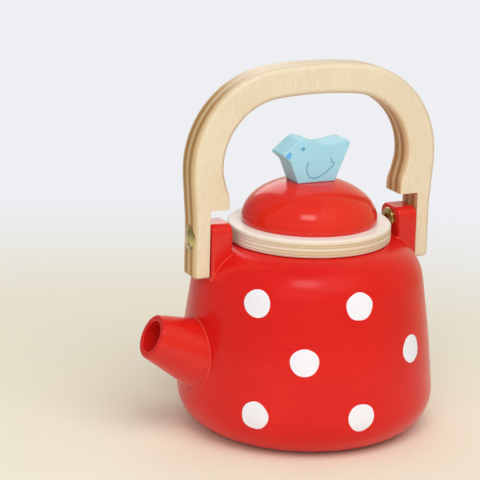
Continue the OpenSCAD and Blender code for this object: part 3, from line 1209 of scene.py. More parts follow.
@dataclass
class Ear:
    """One ear: a block with round upper corners and eased edges, coped and glued to the shoulder."""

    shape: PotShape
    end: End
    corner_r: float = 4.0
    ease: float = 1.2
    bead: float = 0.4
    bead_r: float = 0.28
    bead_step: float = 0.6
    buried: float = 2.0
    wall_rows: int = 7
    corner_rows: int = 20
    columns: int = 8
    node: str = field(init=False)
    inner: float = field(init=False)
    outer: float = field(init=False)
    half: float = field(init=False)
    corner_z: float = field(init=False)
    half_flat: float = field(init=False)

    def __post_init__(self) -> None:
        """Takes the ear's size and place from the frame."""
        self.node = self.end.node("ear")
        self.inner, self.outer, _ = end_span(self.node)
        _, high = box_mm(self.node)
        self.half = high[1]
        self.corner_z = high[2] - self.corner_r
        self.half_flat = self.half - self.corner_r

    def joint(self, x: np.ndarray, y: np.ndarray) -> np.ndarray:
        """Gives the places on the shoulder under points in plan."""
        shoulder = self.shape.line[self.shape.line[:, 1] > self.shape.waist_z]
        return np.stack((x, y, np.interp(-np.hypot(x, y), -shoulder[:, 0], shoulder[:, 1])), -1)

    def paint_bead(self) -> None:
        """Builds the thin bead of paint round the ear's foot."""
        plan = spaced(rounded([
            (self.inner, -self.half, self.ease), (self.outer, -self.half, self.ease),
            (self.outer, self.half, self.ease), (self.inner, self.half, self.ease),
            (self.inner, 0, 0),
        ], closed=True, step_deg=15), self.bead_step)
        loop = self.joint(*plan.T)
        draft = Draft().strip(tube(loop, self.shape.nearest(loop)[1], self.bead_r))
        name = f"{self.node}_paint_bead"
        dress(draft.moved_to(self.end).finished(name), BEAD_ENAMEL, Body.POT)

    def foot(self, x: np.ndarray, y: np.ndarray, out: np.ndarray) -> np.ndarray:
        """Draws the lines up the ear's walls from inside the pot to its round corners.

        Args:
            x: Places of the lines along X.
            y: Places of the lines along Y.
            out: The directions out of the ear, in plan.

        Returns:
            Rows of points, lowest first.
        """
        joint = self.joint(x, y)
        up = np.broadcast_to(np.array((0.0, 0.0, 1.0)), joint.shape)
        flat_out = np.concatenate((out, np.zeros((len(out), 1))), -1)
        bead = self.shape.bead(joint, up, flat_out, self.bead)
        buried = joint - flat_out - up * self.buried
        heart = np.array(((self.inner + self.outer) / 2, 0.0, self.corner_z - 2 * self.half))
        top = np.stack((x, y, np.full_like(x, self.corner_z)), -1)
        wall = np.linspace(bead[-1], top, self.wall_rows + 1)[1:]
        return np.array([np.broadcast_to(heart, joint.shape), buried, *bead, *wall])

    def over_corner(
        self, x: np.ndarray, side: float | np.ndarray, radius: np.ndarray
    ) -> list[np.ndarray]:
        """Draws the lines over an upper corner, from the wall to the top.

        Args:
            x: Places of the lines along X.
            side: Where they lie across the ear, from -1 at one side to 1 at the other.
            radius: How far they lie from the corner's own axis.

        Returns:
            Rows of points, lowest first.
        """
        rows = []
        for a in np.linspace(0, math.pi / 2, self.corner_rows + 1)[1:]:
            y = side * (self.half_flat + radius * math.cos(a))
            rows.append(np.stack((x, y, self.corner_z + radius * math.sin(a)), -1))
        return rows

    def build(self) -> None:
        """Builds the rim of the ear as one strip over its top, and then its two faces."""
        rim = rounded([
            (self.inner, 0, 0), (self.inner, self.half, self.ease),
            (self.outer, self.half, self.ease), (self.outer, 0, 0),
        ], step_deg=9)[1:-1]
        x, y = rim.T
        face_half = self.half - self.ease
        centre_x = np.clip(x, self.inner + self.ease, self.outer - self.ease)
        out = unit(rim - np.stack((centre_x, np.full_like(y, face_half)), -1))
        radius = y - self.half_flat
        across = np.linspace(-1, 1, self.columns + 1)
        flat_top = [
            np.stack((x, np.full_like(x, share * self.half_flat), self.corner_z + radius), -1)
            for share in across[1:-1]
        ]
        draft = Draft().strip(np.array([
            *self.foot(x, -y, out * (1, -1)),
            *self.over_corner(x, -1, radius),
            *flat_top,
            *self.over_corner(x, 1, radius)[::-1],
            *self.foot(x, y, out)[::-1],
        ]), closed=False)
        for face, way in ((self.inner, -1.0), (self.outer, 1.0)):
            x = np.full_like(across, face)
            wall = self.foot(x, across * face_half, np.tile((way, 0.0), (len(across), 1)))
            top = self.over_corner(x, across, np.full_like(x, face_half - self.half_flat))
            draft.strip(np.array([*wall, *top]), closed=False)
        block = draft.moved_to(self.end).finished(f"{self.node}_block")
        dress(block, DIPPED_ENAMEL, Body.POT, self.node)


@dataclass
class Pot:
    """The pot with everything that is glued or printed on it."""

    shape: PotShape = field(default_factory=PotShape)

    def build(self) -> None:
        """Builds the turned body, the dots, the spout and the ears, and dresses the dowels."""
        draft = Draft().strip(turned(self.shape.profile(), LARGE_SIDES))
        dress(draft.finished("pot_turning"), POT_ENAMEL, Body.POT, "pot_body")
        PolkaDots(self.shape).build()
        Spout(self.shape).build()
        for end in End:
            ear = Ear(self.shape, end)
            ear.build()
            ear.paint_bead()
            refinish(end.node("ear_dowels"), BEECH)


# The pivots


@dataclass
class Pivot:
    """The hardware at one ear: a bolt with a low domed head, a flanged barrel nut and a washer."""

    end: End
    shank_d: float = 5.0
    head_d: float = 10.0
    head_t: float = 2.0
    head_edge: float = 0.9
    # The head's edge is upright up to this share of its height, and then breaks inwards
    edge_upright: float = 0.8
    edge_break: float = 0.12
    dome_share: float = 0.93
    dome_start: float = 0.25
    dome_steps: int = 12
    barrel_d: float = 6.4
    nut_d: float = 9.6
    nut_t: float = 1.6
    nut_round: float = 0.9
    nut_face_d: float = 6.0
    socket_w: float = 4.0
    socket_deep: float = 3.2
    socket_lead: float = 0.2
    socket_flare: float = 1.1
    sides: int = 72

    def fit(self, node: str, rings: np.ndarray, start: tuple[float, float], way: int) -> None:
        """Lays a turned piece along X and dresses it.

        Args:
            node: The node that it replaces.
            rings: Its rings, about Z.
            start: Where its zero goes, as distance from the kettle's axis and height.
            way: 1 if it runs outwards from there, -1 if it runs towards the lid.
        """
        reach, z = start
        laid = stood_on(rings, (self.end.value * reach, 0, z), (self.end.value * way, 0, 0))
        dress(Draft().strip(laid).finished(f"{node}_turning"), ZINC, Body.POT, node)

    def bolt(self) -> None:
        """Builds the bolt, its head towards the outside."""
        node = self.end.node("pivot_bolt")
        inner, outer, z = end_span(node)
        shank_r, head_r = self.shank_d / 2, self.head_d / 2
        top = outer - inner
        seat = top - self.head_t
        dome_h = self.head_t - self.head_edge
        dome = [
            (head_r * math.cos(a) * self.dome_share, top - dome_h * (1 - math.sin(a)))
            for a in np.linspace(self.dome_start, math.pi / 2, self.dome_steps)
        ]
        profile = np.array([
            (0, 0), (shank_r, 0), (shank_r, seat), (head_r, seat),
            (head_r, seat + self.head_edge * self.edge_upright),
            (head_r - self.edge_break, seat + self.head_edge),
            *dome[:-1], (0, top),
        ])
        self.fit(node, turned(profile, self.sides), (inner, z), 1)

    def nut(self) -> None:
        """Builds the nut, its flange and hexagon socket towards the lid."""
        node = self.end.node("pivot_nut")
        inner, outer, z = end_span(node)
        barrel_r, nut_r = self.barrel_d / 2, self.nut_d / 2
        barrel_l = outer - inner - self.nut_t
        flange = rounded([
            (0, -barrel_l, 0), (barrel_r, -barrel_l, 0), (barrel_r, 0, 0), (nut_r, 0, 0),
            (nut_r, self.nut_t, self.nut_round), (self.nut_face_d / 2, self.nut_t, 0),
        ], step_deg=10)
        turns = round_turns(self.sides)
        sixth = math.pi / 3
        reach = self.socket_w / 2 / np.cos((turns + sixth / 2) % sixth - sixth / 2)
        hexagon = reach[:, None] * on_circle(turns)
        rings = list(turned(flange, self.sides))
        socket = (
            (self.socket_flare, 0.0), (1.0, self.socket_lead), (1.0, self.socket_deep),
            (0.0, self.socket_deep),
        )
        for grow, depth in socket:
            level = np.full((self.sides, 1), self.nut_t - depth)
            rings.append(np.concatenate((hexagon * grow, level), -1))
        self.fit(node, np.array(rings), (inner + self.nut_t, z), -1)

    def build(self) -> None:
        """Builds the bolt and the nut, and dresses the washer."""
        self.bolt()
        self.nut()
        refinish(self.end.node("washer"), ZINC)


# The handle


@dataclass(frozen=True)
class ArchEdge:
    """One edge of half the arch: up the side from the hook, round the corner and on to the crown.

    The crown is a wide arc that the corner's arc runs into without a break. Points are x and z.
    """

    side: np.ndarray
    foot_z: float
    corner_r: float
    crown_r: float
    crown_z: float

    def lean(self) -> float:
        """Gives the angle from upright at which the corner's arc meets the crown's."""
        return math.asin((self.side[-1, 0] - self.corner_r) / (self.crown_r - self.corner_r))

    def spring_z(self) -> float:
        """Gives the height at which the corner's arc leaves the side."""
        return self.crown_z - self.crown_r + (self.crown_r - self.corner_r) * math.cos(self.lean())

    def on_side(self, share: float) -> tuple[float, float]:
        """Gives the point at a share of the way up the side."""
        z = self.foot_z + share * (self.spring_z() - self.foot_z)
        return np.interp(z, self.side[:, 1], self.side[:, 0]), z

    def on_corner(self, share: float) -> tuple[float, float]:
        """Gives the point at a share of the way round the corner.

        Args:
            share: From 0 at the side to 1 at the crown.

        Returns:
            The point.
        """
        turn = math.pi / 2 * (1 - share) + self.lean() * share
        x = self.side[-1, 0] - self.corner_r * (1 - math.sin(turn))
        return x, self.spring_z() + self.corner_r * math.cos(turn)

    def on_crown(self, share: float) -> tuple[float, float]:
        """Gives the point at a share of the way from the corner to the crown's middle."""
        turn = self.lean() * (1 - share)
        return self.crown_r * math.sin(turn), self.crown_z - self.crown_r * (1 - math.cos(turn))


@dataclass
class Handle:
    """The plywood bail: an arch whose hooks reach over the ears and whose legs lap them outside."""

    pivot_z: float = 87.2
    leg_in: float = 49.1
    leg_out: float = 55.9
    leg_drop: float = 16.9
    hook_z: float = 99.3
    hook_in: float = 40.5
    hook_foot: float = 5.7
    hook_head: float = 15.3
    hook_round: float = 6.0
    swell_out: float = 1.4
    swell_in: float = 2.5
    swell_foot: float = 7.0
    swell_head: float = 26.0
    swell_round_out: float = 30.0
    swell_round_in: float = 14.0
    arch_round_out: float = 41.2
    arch_round_in: float = 27.8
    bar_h: float = 12.8
    crown_rise: float = 0.7
    crown_r: float = 185.0
    plies: tuple[float, ...] = (2.9, 2.3, 2.7, 2.3, 2.9)
    edge_round: float = 2.3
    hook_ease: float = 0.5
    hook_blend: float = 3.0
    crisp: float = 0.25
    end_round: float = 1.3
    end_ease: float = 1.0
    bore_d: float = 5.1
    counterbore_d: float = 11.2
    head_seat: float = 53.5
    bore_past: float = 2.0
    bore_sides: int = 96
    sharp_deg: float = 12.5
    corner_steps: int = 9
    end_rows: int = 6
    leg_rows: int = 14
    side_rows: int = 25
    corner_rows: int = 40
    crown_rows: int = 12
    # Two more sections lie this share of the side below and above the hook's kink
    kink_share: float = 0.02
    half_t: float = field(init=False)
    inner_edge: ArchEdge = field(init=False)
    outer_edge: ArchEdge = field(init=False)

    def __post_init__(self) -> None:
        """Takes the board's thickness and the crown's height from the frame, and draws both edges."""
        _, high = box_mm("handle")
        self.half_t = high[1]
        crown_out = high[2]
        crown_in = crown_out - self.bar_h
        arch_out = self.leg_out + self.swell_out
        arch_in = self.hook_in + self.swell_in
        outer_side = rounded([
            (self.leg_out, self.pivot_z - self.leg_drop, 0),
            (self.leg_out, self.pivot_z + self.swell_foot, self.swell_round_out),
            (arch_out, self.pivot_z + self.swell_head, self.swell_round_out),
            (arch_out, crown_out, 0),
        ], step_deg=0.6)
        inner_side = rounded([
            (self.hook_in, self.hook_z, 0),
            (self.hook_in, self.hook_z + self.hook_foot, self.hook_round),
            (arch_in, self.hook_z + self.hook_head, self.swell_round_in),
            (arch_in, crown_in, 0),
        ], step_deg=1.2)
        self.inner_edge = ArchEdge(
            inner_side, self.hook_z, self.arch_round_in, self.crown_r - self.bar_h,
            crown_in + self.crown_rise,
        )
        self.outer_edge = ArchEdge(
            outer_side, self.hook_z, self.arch_round_out, self.crown_r, crown_out + self.crown_rise
        )

    def ring(
        self,
        inner: tuple[float, float],
        outer: tuple[float, float],
        r_in: float,
        r_out: float,
        half: float,
        split: float | None = None,
    ) -> np.ndarray:
        """Draws one section of the bar.

        Args:
            inner: Its inner edge, as x and z.
            outer: Its outer edge, as x and z.
            r_in: Rounding of its inner corners.
            r_out: Rounding of its outer corners.
            half: Half its thickness.
            split: Where an extra point lies on each flat, as a share from inner to outer.

        Returns:
            The section's points, from the outer corner at +Y round to the one at -Y.
        """
        start, stop = np.array(inner), np.array(outer)
        width = np.linalg.norm(stop - start)
        way = (stop - start) / width
        points = []
        for quarter, (is_outer, sign) in enumerate(((True, 1), (False, 1), (False, -1), (True, -1))):
            r = r_out if is_outer else r_in
            middle = np.array((width - r if is_outer else r, sign * (half - r)))
            turns = (quarter + np.linspace(0, 1, self.corner_steps + 1)) * math.pi / 2
            arc = list(middle + r * on_circle(turns))
            if split is not None and is_outer:
                arc.insert(len(arc) if sign > 0 else 0, np.array((split * width, sign * half)))
            points.extend(arc)
        across, y = np.array(points).T
        flat = start + across[:, None] * way
        return np.stack((flat[:, 0], y, flat[:, 1]), -1)

    def outlines(self) -> list[tuple[tuple, tuple]]:
        """Pairs the arch's inner and outer edges.

        Returns:
            A point of each edge for every section, from the notch over one hook to the crown.
        """
        edges = (self.inner_edge, self.outer_edge)
        kink = self.hook_foot / (self.inner_edge.spring_z() - self.hook_z)
        near_kink = (kink - self.kink_share, kink, kink + self.kink_share)
        up_side = sorted((*np.linspace(0, 1, self.side_rows + 1), *near_kink))
        pairs = [tuple(edge.on_side(share) for edge in edges) for share in up_side]
        for share in np.linspace(0, 1, self.corner_rows + 1)[1:]:
            pairs.append(tuple(edge.on_corner(share) for edge in edges))
        for share in np.linspace(0, 1, self.crown_rows + 1)[1:]:
            pairs.append(tuple(edge.on_crown(share) for edge in edges))
        return pairs

    def leg(self) -> np.ndarray:
        """Draws one leg.

        Returns:
            Its sections, from its rounded end up to the notch.
        """
        leg_z = self.pivot_z - self.leg_drop
        rings = []
        for a in np.linspace(0, math.pi / 2, self.end_rows + 1):
            inset = 1 - math.sin(a)
            z = leg_z + self.end_round * (1 - math.cos(a))
            rings.append(self.ring(
                (self.leg_in + self.end_ease * inset, z),
                (self.leg_out - self.end_round * inset, z),
                self.crisp,
                self.edge_round - self.end_round * inset,
                self.half_t - self.end_round * inset,
            ))
        side = self.outer_edge.side
        for z in np.linspace(leg_z + self.end_round, self.hook_z, self.leg_rows + 1)[1:]:
            outer = np.interp(z, side[:, 1], side[:, 0])
            rings.append(self.ring((self.leg_in, z), (outer, z), self.crisp, self.edge_round, self.half_t))
        return np.array(rings)

    def sweep(self) -> Object:
        """Sweeps the arch from notch to notch and adds the legs.

        Returns:
            The handle without its bores.
        """
        pairs = self.outlines()
        split = (self.leg_in + self.crisp - self.hook_in) / (pairs[0][1][0] - self.hook_in)
        sawn_z = self.hook_z + self.hook_foot
        blend = (sawn_z - self.hook_blend, sawn_z + self.hook_blend)
        half_arch = np.array([
            self.ring(
                inner, outer, np.interp(inner[1], blend, (self.hook_ease, self.edge_round)),
                self.edge_round, self.half_t, split,
            )
            for inner, outer in pairs
        ])
        leg = self.leg()
        draft = Draft().strip(np.concatenate((half_arch, half_arch[-2::-1] * (-1, 1, 1))))
        # The notch's ceiling joins the arch's first section, from split to split round its inner
        # edge, to the leg's last; the splits stand for the ends of the leg's inner corners
        n = self.corner_steps + 1
        ceiling = np.concatenate((half_arch[0][n:3 * n + 2], leg[-1][3 * n - 2:n:-1]))
        for end in (End.REAR, End.FRONT):
            side = (end.value, 1, 1)
            draft.strip(leg * side).caps(leg[0] * side, ceiling * side)
        return draft.mesh_object("bail_handle")

    def build(self) -> None:
        """Builds the handle, and bores its legs for the bolts and their heads."""
        piece = self.sweep()
        bore_r, sink_r = self.bore_d / 2, self.counterbore_d / 2
        start, stop = self.leg_in - self.bore_past, self.leg_out + self.bore_past
        rod = np.array((
            (0, start), (bore_r, start), (bore_r, self.head_seat), (sink_r, self.head_seat),
            (sink_r, stop), (0, stop),
        ))
        for end in End:
            laid = stood_on(turned(rod, self.bore_sides), (0, 0, self.pivot_z), (end.value, 0, 0))
            cut_away(piece, Draft().strip(laid).mesh_object("bore_cutter"))
        ply = LacqueredPly(
            "lacquered_birch_ply_handle", Slot.PLY, Axis.Y, -self.half_t, self.plies, Axis.Z, Axis.X
        )
        dress(smoothed(piece, self.sharp_deg), ply, Body.HANDLE, "handle")


# The lid


@dataclass
class Bird:
    """The knob: a plain bird sawn from a board, with a printed eye, wing and beak on both faces."""

    base: float = 17.4
    beak_reach: float = 7.7
    beak_z: float = 12.6
    # The breast's bend, as shares of the beak's reach and height
    breast_out: float = 0.5
    breast_up: float = 0.75
    tail_reach: float = 7.6
    tail_z: float = 18.0
    crown_z: float = 20.0
    crown_back: float = 1.6
    dip_z: float = 15.9
    dip_ahead: float = 6.4
    crown_round: float = 4.5
    dip_round: float = 9.0
    breast_round: float = 4.0
    tail_round: float = 1.5
    beak_round: float = 0.9
    foot_ease: float = 0.65
    edge_ease: float = 0.55
    edge_rows: int = 4
    sharp_deg: float = 40.0
    film: float = 0.04
    stroke: float = 0.5
    # A stroke thins to this share of its width at its ends
    stroke_end: float = 0.3
    stroke_fullness: float = 4.0
    eye: tuple[float, float] = (-6.9, 15.0)
    eye_r: float = 0.9
    eye_sides: int = 32
    wing: tuple[tuple[float, float], ...] = (
        (-3.8, 9.7), (-4.9, 7.1), (-4.6, 4.6), (-3.0, 2.4), (0.0, 2.2), (3.4, 3.7), (6.2, 5.7),
        (7.8, 7.4), (7.6, 8.5), (6.7, 8.6), (6.3, 7.9),
    )
    tick: tuple[tuple[float, float], ...] = ((6.4, 10.4), (6.55, 9.7), (6.7, 9.05))
    beak: tuple[tuple[float, float, float], ...] = (
        (-15.1, 12.4, 0.4), (-12.9, 14.4, 0.5), (-12.1, 12.8, 0.6), (-13.5, 10.6, 0.6),
    )
    half_t: float = field(init=False)
    stand: float = field(init=False)

    def __post_init__(self) -> None:
        """Takes the board's thickness and the bird's stand from the frame."""
        low, high = box_mm("bird_knob")
        self.half_t = high[1]
        self.stand = low[2]

    def outline(self) -> np.ndarray:
        """Draws the sawn outline.

        Returns:
            X and height above the dome, one row each.
        """
        half = self.base / 2
        return rounded([
            (-half, 0, self.foot_ease),
            (half, 0, self.foot_ease),
            (half + self.tail_reach, self.tail_z, self.tail_round),
            (half - self.dip_ahead, self.dip_z, self.dip_round),
            (-half + self.crown_back, self.crown_z, self.crown_round),
            (-half - self.beak_reach, self.beak_z, self.beak_round),
            (-half - self.beak_reach * self.breast_out, self.beak_z * self.breast_up, self.breast_round),
        ], closed=True)

    def on_board(self, flat: np.ndarray, y: float) -> np.ndarray:
        """Places outline points at one depth of the board."""
        return np.stack((flat[:, 0], np.full(len(flat), y), flat[:, 1] + self.stand), -1)

    def body(self) -> None:
        """Builds the board with its edges eased."""
        line = self.outline()
        tangent = unit(np.roll(line, -1, axis=0) - np.roll(line, 1, axis=0))
        inward = np.stack((-tangent[:, 1], tangent[:, 0]), -1)
        rings = []
        for side in (-1, 1):
            for a in np.linspace(0, math.pi / 2, self.edge_rows + 1)[::-side]:
                inset = self.edge_ease * (1 - math.sin(a))
                depth = self.half_t - self.edge_ease * (1 - math.cos(a))
                rings.append(self.on_board(line + inward * inset, side * depth))
        draft = Draft().strip(np.array(rings)).caps(rings[0], rings[-1])
        dress(draft.finished("bird_board", self.sharp_deg), BIRD_PAINT, Body.LID, "bird_knob")

    def stroke_sides(self, line: np.ndarray) -> tuple[np.ndarray, np.ndarray]:
        """Gives both sides of a brush-like stroke that thins out at its ends.

        Args:
            line: The stroke's middle line.

        Returns:
            Its left and right sides.
        """
        tangent = unit(np.gradient(line, axis=0))
        across = np.stack((-tangent[:, 1], tangent[:, 0]), -1)
        share = np.linspace(0, 1, len(line))[:, None]
        swell = self.stroke_fullness * np.sqrt(share * (1 - share))
        width = self.stroke / 2 * np.clip(swell, self.stroke_end, 1)
        return line + across * width, line - across * width

    def prints(self) -> None:
        """Builds the thin printed marks on both faces."""
        strokes = [self.stroke_sides(curve_through(list(line))) for line in (self.wing, self.tick)]
        eye = np.array(self.eye) + self.eye_r * on_circle(round_turns(self.eye_sides))
        beak = rounded(list(self.beak), closed=True, step_deg=12)
        ink, beak_ink = Draft(), Draft()
        for side in (-1, 1):
            under, over = side * (self.half_t - self.film), side * (self.half_t + self.film)
            for left, right in strokes:
                corners = ((left, under), (left, over), (right, over), (right, under))
                rings = np.stack([self.on_board(line, y) for line, y in corners], 1)
                ink.strip(rings).caps(rings[0], rings[-1])
            for draft, mark in ((ink, eye), (beak_ink, beak)):
                rings = np.array([self.on_board(mark, y) for y in (under, over)])
                draft.strip(rings).caps(*rings)
        dress(ink.finished("bird_eyes_and_wings"), PRINT_INK, Body.LID)
        dress(beak_ink.finished("bird_beak_marks"), BEAK_INK, Body.LID)

    def build(self) -> None:
        """Builds the bird and its print, and dresses its dowel."""
        self.body()
        self.prints()
        refinish("bird_dowel", BEECH)


@dataclass
class Lid:
    """The lift-off lid: a plywood disc over a plug, a turned dome and the bird."""

    disc_round: float = 1.1
    disc_step: float = 2.5
    plug_step: float = 4.0
    plug_overlap: float = 0.5
    plug_plies: int = 4
    disc_shares: tuple[float, ...] = (0.18, 0.2, 0.21, 0.15, 0.26)
    dome_edge_h: float = 1.4
    dome_tuck: float = 0.5
    # The dome's edge swells to this far inside its full radius at this share of its height
    dome_swell: float = 0.1
    dome_swell_h: float = 0.6
    dome_edge_steps: int = 6
    dome_steps: int = 60
    dome_flat_d: float = 21.0
    dome_flat_share: float = 0.6
    dome_sharp_deg: float = 45.0
    bird: Bird = field(default_factory=Bird)
    plug_r: float = field(init=False)
    plug_z: float = field(init=False)
    disc_r: float = field(init=False)
    disc_z: float = field(init=False)
    dome_r: float = field(init=False)
    dome_z: float = field(init=False)
    top_z: float = field(init=False)

    def __post_init__(self) -> None:
        """Takes the radii and levels of plug, disc and dome from the frame."""
        low, high = box_mm("lid_plug")
        _, disc = box_mm("lid_disc")
        _, dome = box_mm("lid_dome")
        self.plug_r, self.disc_r, self.dome_r = high[0], disc[0], dome[0]
        self.plug_z, self.disc_z, self.dome_z, self.top_z = low[2], high[2], disc[2], dome[2]

    def board(self) -> LacqueredPly:
        """Gives the plywood of the plug and the disc, which is whiter than the handle's.

        Returns:
            The finish.
        """
        plug_ply = (self.disc_z - self.plug_z) / self.plug_plies
        disc_plies = tuple(share * (self.dome_z - self.disc_z) for share in self.disc_shares)
        return LacqueredPly(
            "lacquered_birch_ply_lid", Slot.PLY, Axis.Z, self.plug_z,
            (plug_ply,) * self.plug_plies + disc_plies, Axis.X, Axis.Y,
            pale="#F6F2E9", streak="#EFE8DA", edge_tan="#EAD8B9", end_pale="#E5D0AB", end_dark="#D9C197",
            glue="#B99B74",
        )

    def plug_and_disc(self) -> None:
        """Builds the plug, which runs a little way into the disc, and the disc."""
        plug_top = self.disc_z + self.plug_overlap
        plug = rounded([
            (0, self.plug_z, 0), (self.plug_r, self.plug_z, self.disc_round),
            (self.plug_r, plug_top, 0), (0, plug_top, 0),
        ])
        disc = rounded([
            (0, self.disc_z, 0), (self.disc_r, self.disc_z, self.disc_round),
            (self.disc_r, self.dome_z, self.disc_round), (0, self.dome_z, 0),
        ], step_deg=6)
        ply = self.board()
        for node, line, step, sides in (
            ("lid_plug", plug, self.plug_step, SIDES), ("lid_disc", disc, self.disc_step, LARGE_SIDES)
        ):
            draft = Draft().strip(turned(spaced(line, step), sides))
            dress(draft.finished(f"{node}_turning"), ply, Body.LID, node)

    def dome(self) -> None:
        """Builds the dome, with its tucked edge and the small flat that the bird stands on."""
        flat_r, edge_z = self.dome_flat_d / 2, self.dome_z + self.dome_edge_h
        height = (self.top_z - edge_z) / math.sqrt(1 - (flat_r / self.dome_r) ** 2)
        curve = [
            (self.dome_r * math.cos(a), edge_z + height * math.sin(a))
            for a in np.linspace(0, math.acos(flat_r / self.dome_r), self.dome_steps)
        ]
        edge = curve_through([
            (self.dome_r - self.dome_tuck, self.dome_z),
            (self.dome_r - self.dome_swell, self.dome_z + self.dome_swell_h * self.dome_edge_h),
            curve[0],
        ], self.dome_edge_steps)
        profile = np.array([
            (0, self.dome_z), *edge[:-1], *curve,
            (flat_r * self.dome_flat_share, self.top_z), (0, self.top_z),
        ])
        draft = Draft().strip(turned(profile, LARGE_SIDES))
        turning = draft.finished("lid_dome_turning", self.dome_sharp_deg)
        dress(turning, DOME_ENAMEL, Body.LID, "lid_dome")

    def build(self) -> None:
        """Builds plug, disc and dome, dresses the screw and adds the bird."""
        self.plug_and_disc()
        self.dome()
        refinish("lid_screw", ZINC)
        self.bird.build()


# The studio


@dataclass
class Camera:
    """The photograph's viewpoint."""

    azimuth_deg: float = -27.1
    distance: float = 826.05
    height: float = 304.14
    heading_deg: float = 25.06
    pitch_deg: float = 15.18
    roll_deg: float = 1.39
    lens: float = 149.28
    sensor: float = 36.0
    nearest_m: float = 0.05
    furthest_m: float = 20.0

    def build(self) -> None:
        """Places the camera and makes it the scene's own."""
        data = bpy.data.cameras.new("photo_view")
        data.lens = self.lens
        data.sensor_width = self.sensor
        data.clip_start = self.nearest_m
        data.clip_end = self.furthest_m
        camera = placed("photo_view", data)
        azimuth = math.radians(self.azimuth_deg)
        away = Vector((math.sin(azimuth), -math.cos(azimuth), 0)) * self.distance
        stand = (away + Vector((0, 0, self.height))) * MM
        camera.matrix_world = (
            Matrix.Translation(stand)
            @ Matrix.Rotation(-math.radians(self.heading_deg), 4, "Z")
            @ Matrix.Rotation(math.radians(90 - self.pitch_deg), 4, "X")
            @ Matrix.Rotation(math.radians(self.roll_deg), 4, "Z")
        )
        bpy.context.scene.camera = camera


@dataclass(frozen=True)
class Softbox:
    """One soft lamp, aimed at the kettle."""

    name: str
    azimuth_deg: float
    elevation_deg: float
    distance_m: float
    width_m: float
    height_m: float
    watts: float
    colour: str
    in_gloss: bool = False
    in_diffuse: bool = True

    def build(self, target: Vector) -> None:
        """Places the lamp.

        Args:
            target: What it is aimed at.
        """
        lamp = bpy.data.lights.new(self.name, "AREA")
        lamp.shape = "RECTANGLE"
        lamp.size = self.width_m
        lamp.size_y = self.height_m
        lamp.energy = self.watts
        lamp.color = to_linear(self.colour)[:3]
        holder = placed(self.name, lamp)
        a, e = math.radians(self.azimuth_deg), math.radians(self.elevation_deg)
        back = Vector((math.sin(a) * math.cos(e), -math.cos(a) * math.cos(e), math.sin(e)))
        holder.location = target + back * self.distance_m
        holder.rotation_mode = "QUATERNION"
        holder.rotation_quaternion = back.to_track_quat("Z", "Y")
        holder.visible_glossy = self.in_gloss
        holder.visible_diffuse = self.in_diffuse


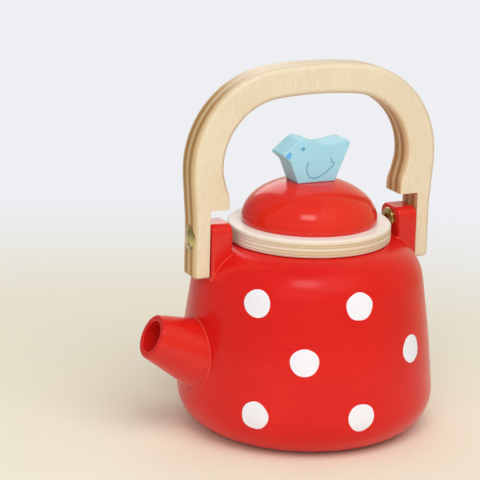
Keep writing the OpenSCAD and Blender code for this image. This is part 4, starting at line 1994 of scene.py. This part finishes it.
@dataclass
class Studio:
    """A pale paper floor under soft lamps, and a plain room for the gloss to mirror."""

    floor_m: float = 4.0
    floor_drop_m: float = 0.0001
    floor_colour: str = "#F5EDD5"
    # The floor fades into the background between these distances from a point before the kettle
    floor_middle_m: tuple[float, float, float] = (-0.12, -0.1, 0.0)
    floor_fade_m: tuple[float, float] = (0.26, 0.56)
    sky_colour: str = "#EEEFF3"
    sky_strength: float = 0.5
    # The room as gloss shows it: dim on the left, warm on the right with a bright edge between them,
    # and a pale wall behind the kettle
    room_left: str = "#908E8C"
    room_edge: str = "#FFF4E4"
    room_right: str = "#E0C298"
    room_way: tuple[float, float, float] = (0.89, -0.36, -0.27)
    room_edge_share: float = 0.02
    wall_colour: str = "#EBDCC6"
    wall_heading_deg: float = 32.0
    wall_elevation_deg: float = 12.0
    wall_edge: tuple[float, float] = (0.72, 1.0)
    lamps: tuple[Softbox, ...] = (
        Softbox("ceiling_softbox", -28, 53, 1.5, 0.52, 0.44, 3.0, "#FFFCF8", in_gloss=True),
        Softbox("main_softbox", 8, 52, 1.6, 1.2, 1.2, 11.2, "#F9FCFF"),
        Softbox("front_softbox", -40, 24, 1.6, 1.0, 1.0, 5.8, "#F9FCFF"),
        Softbox("window_softbox", 167, 31, 1.7, 0.76, 1.17, 4.2, "#FAFBFF", in_gloss=True, in_diffuse=False),
        Softbox("back_softbox", 165, 50, 1.7, 1.4, 0.8, 3.0, "#F9FCFF"),
    )

    def floor(self) -> None:
        """Lays the floor: matt paper, which shows the kettle's shadow and no gloss."""
        half = self.floor_m / 2
        corners = [(-half, -half, 0), (half, -half, 0), (half, half, 0), (-half, half, 0)]
        mesh = bpy.data.meshes.new("floor")
        mesh.from_pydata(corners, [], [(0, 1, 2, 3)])
        floor = placed("floor", mesh)
        floor.location.z = -self.floor_drop_m
        paper = bpy.data.materials.new("matt_paper_floor")
        tree = emptied_tree(paper)
        near = add_node(
            tree, "BsdfPrincipled",
            {"Base Color": to_linear(self.floor_colour), "Roughness": 0.9, "Specular IOR Level": 0.1},
        )
        away = add_node(
            tree, "VectorMath", {"operation": "DISTANCE", 1: self.floor_middle_m},
            {0: add_node(tree, "TexCoord").outputs["Object"]},
        )
        fade_from, fade_to = self.floor_fade_m
        fade = add_node(
            tree, "MapRange",
            {"interpolation_type": "SMOOTHSTEP", "From Min": fade_from, "From Max": fade_to},
            {"Value": away.outputs["Value"]},
        )
        far = add_node(tree, "BsdfTransparent")
        shader = add_node(
            tree, "MixShader", links={0: fade.outputs[0], 1: near.outputs[0], 2: far.outputs[0]}
        )
        add_node(tree, "OutputMaterial", links={"Surface": shader.outputs[0]})
        mesh.materials.append(paper)

    def room(self, tree: NodeTree) -> NodeSocket:
        """Paints the room that gloss mirrors: its two sides, the edge between them and the wall.

        Args:
            tree: The world's node tree.

        Returns:
            The room's colour in each direction.
        """
        way = add_node(tree, "TexCoord").outputs["Generated"]
        heading, rise = math.radians(self.wall_heading_deg), math.radians(self.wall_elevation_deg)
        wall = (math.sin(heading) * math.cos(rise), math.cos(heading) * math.cos(rise), math.sin(rise))
        towards, aside = (
            add_node(tree, "VectorMath", {"operation": "DOT_PRODUCT", 1: aim}, {0: way}).outputs["Value"]
            for aim in (wall, self.room_way)
        )
        wall_from, wall_to = self.wall_edge
        share = add_node(
            tree, "MapRange",
            {"interpolation_type": "SMOOTHSTEP", "From Min": wall_from, "From Max": wall_to},
            {"Value": towards},
        )
        half_way = add_node(tree, "MapRange", {"From Min": -1.0, "From Max": 1.0}, {"Value": aside})
        left, edge, right = (to_linear(c) for c in (self.room_left, self.room_edge, self.room_right))
        stops = [(0.5 - self.room_edge_share, left), (0.5, edge), (0.5 + self.room_edge_share, right)]
        sides = add_node(tree, "ValToRGB", {"stops": stops}, {0: half_way.outputs[0]})
        room = add_node(
            tree, "Mix", {"data_type": "RGBA", COLOUR_B: to_linear(self.wall_colour)},
            {0: share.outputs[0], COLOUR_A: sides.outputs[0]},
        )
        return room.outputs[COLOUR_OUT]

    def sky(self) -> None:
        """Lights the kettle evenly, shows a pale background to the eye, and the room in gloss."""
        world = bpy.data.worlds.new("studio")
        bpy.context.scene.world = world
        tree = emptied_tree(world)
        path = add_node(tree, "LightPath")
        seen = add_node(
            tree, "Math", {"operation": "MAXIMUM"},
            {0: path.outputs["Is Camera Ray"], 1: path.outputs["Is Transmission Ray"]},
        )
        pale = to_linear(self.sky_colour)
        light = add_node(tree, "Background", {"Color": pale, "Strength": self.sky_strength})
        gloss = add_node(tree, "Background", {"Strength": 1.0}, {"Color": self.room(tree)})
        shown = add_node(tree, "Background", {"Color": pale, "Strength": 1.0})
        lit = add_node(
            tree, "MixShader",
            links={0: path.outputs["Is Glossy Ray"], 1: light.outputs[0], 2: gloss.outputs[0]},
        )
        both = add_node(
            tree, "MixShader", links={0: seen.outputs[0], 1: lit.outputs[0], 2: shown.outputs[0]}
        )
        add_node(tree, "OutputWorld", links={"Surface": both.outputs[0]})

    def build(self) -> None:
        """Builds the floor, the light and the view's colour."""
        bpy.context.scene.view_settings.view_transform = "Standard"
        self.floor()
        self.sky()
        low, high = CAD_BOX
        for lamp in self.lamps:
            lamp.build((low + high) / 2)


def main() -> None:
    """Builds the kettle and its studio."""
    logging.basicConfig(level=logging.INFO, format="%(message)s")
    Camera().build()
    Studio().build()
    Pot().build()
    for end in End:
        Pivot(end).build()
    Handle().build()
    Lid().build()


if __name__ == "__main__":
    main()
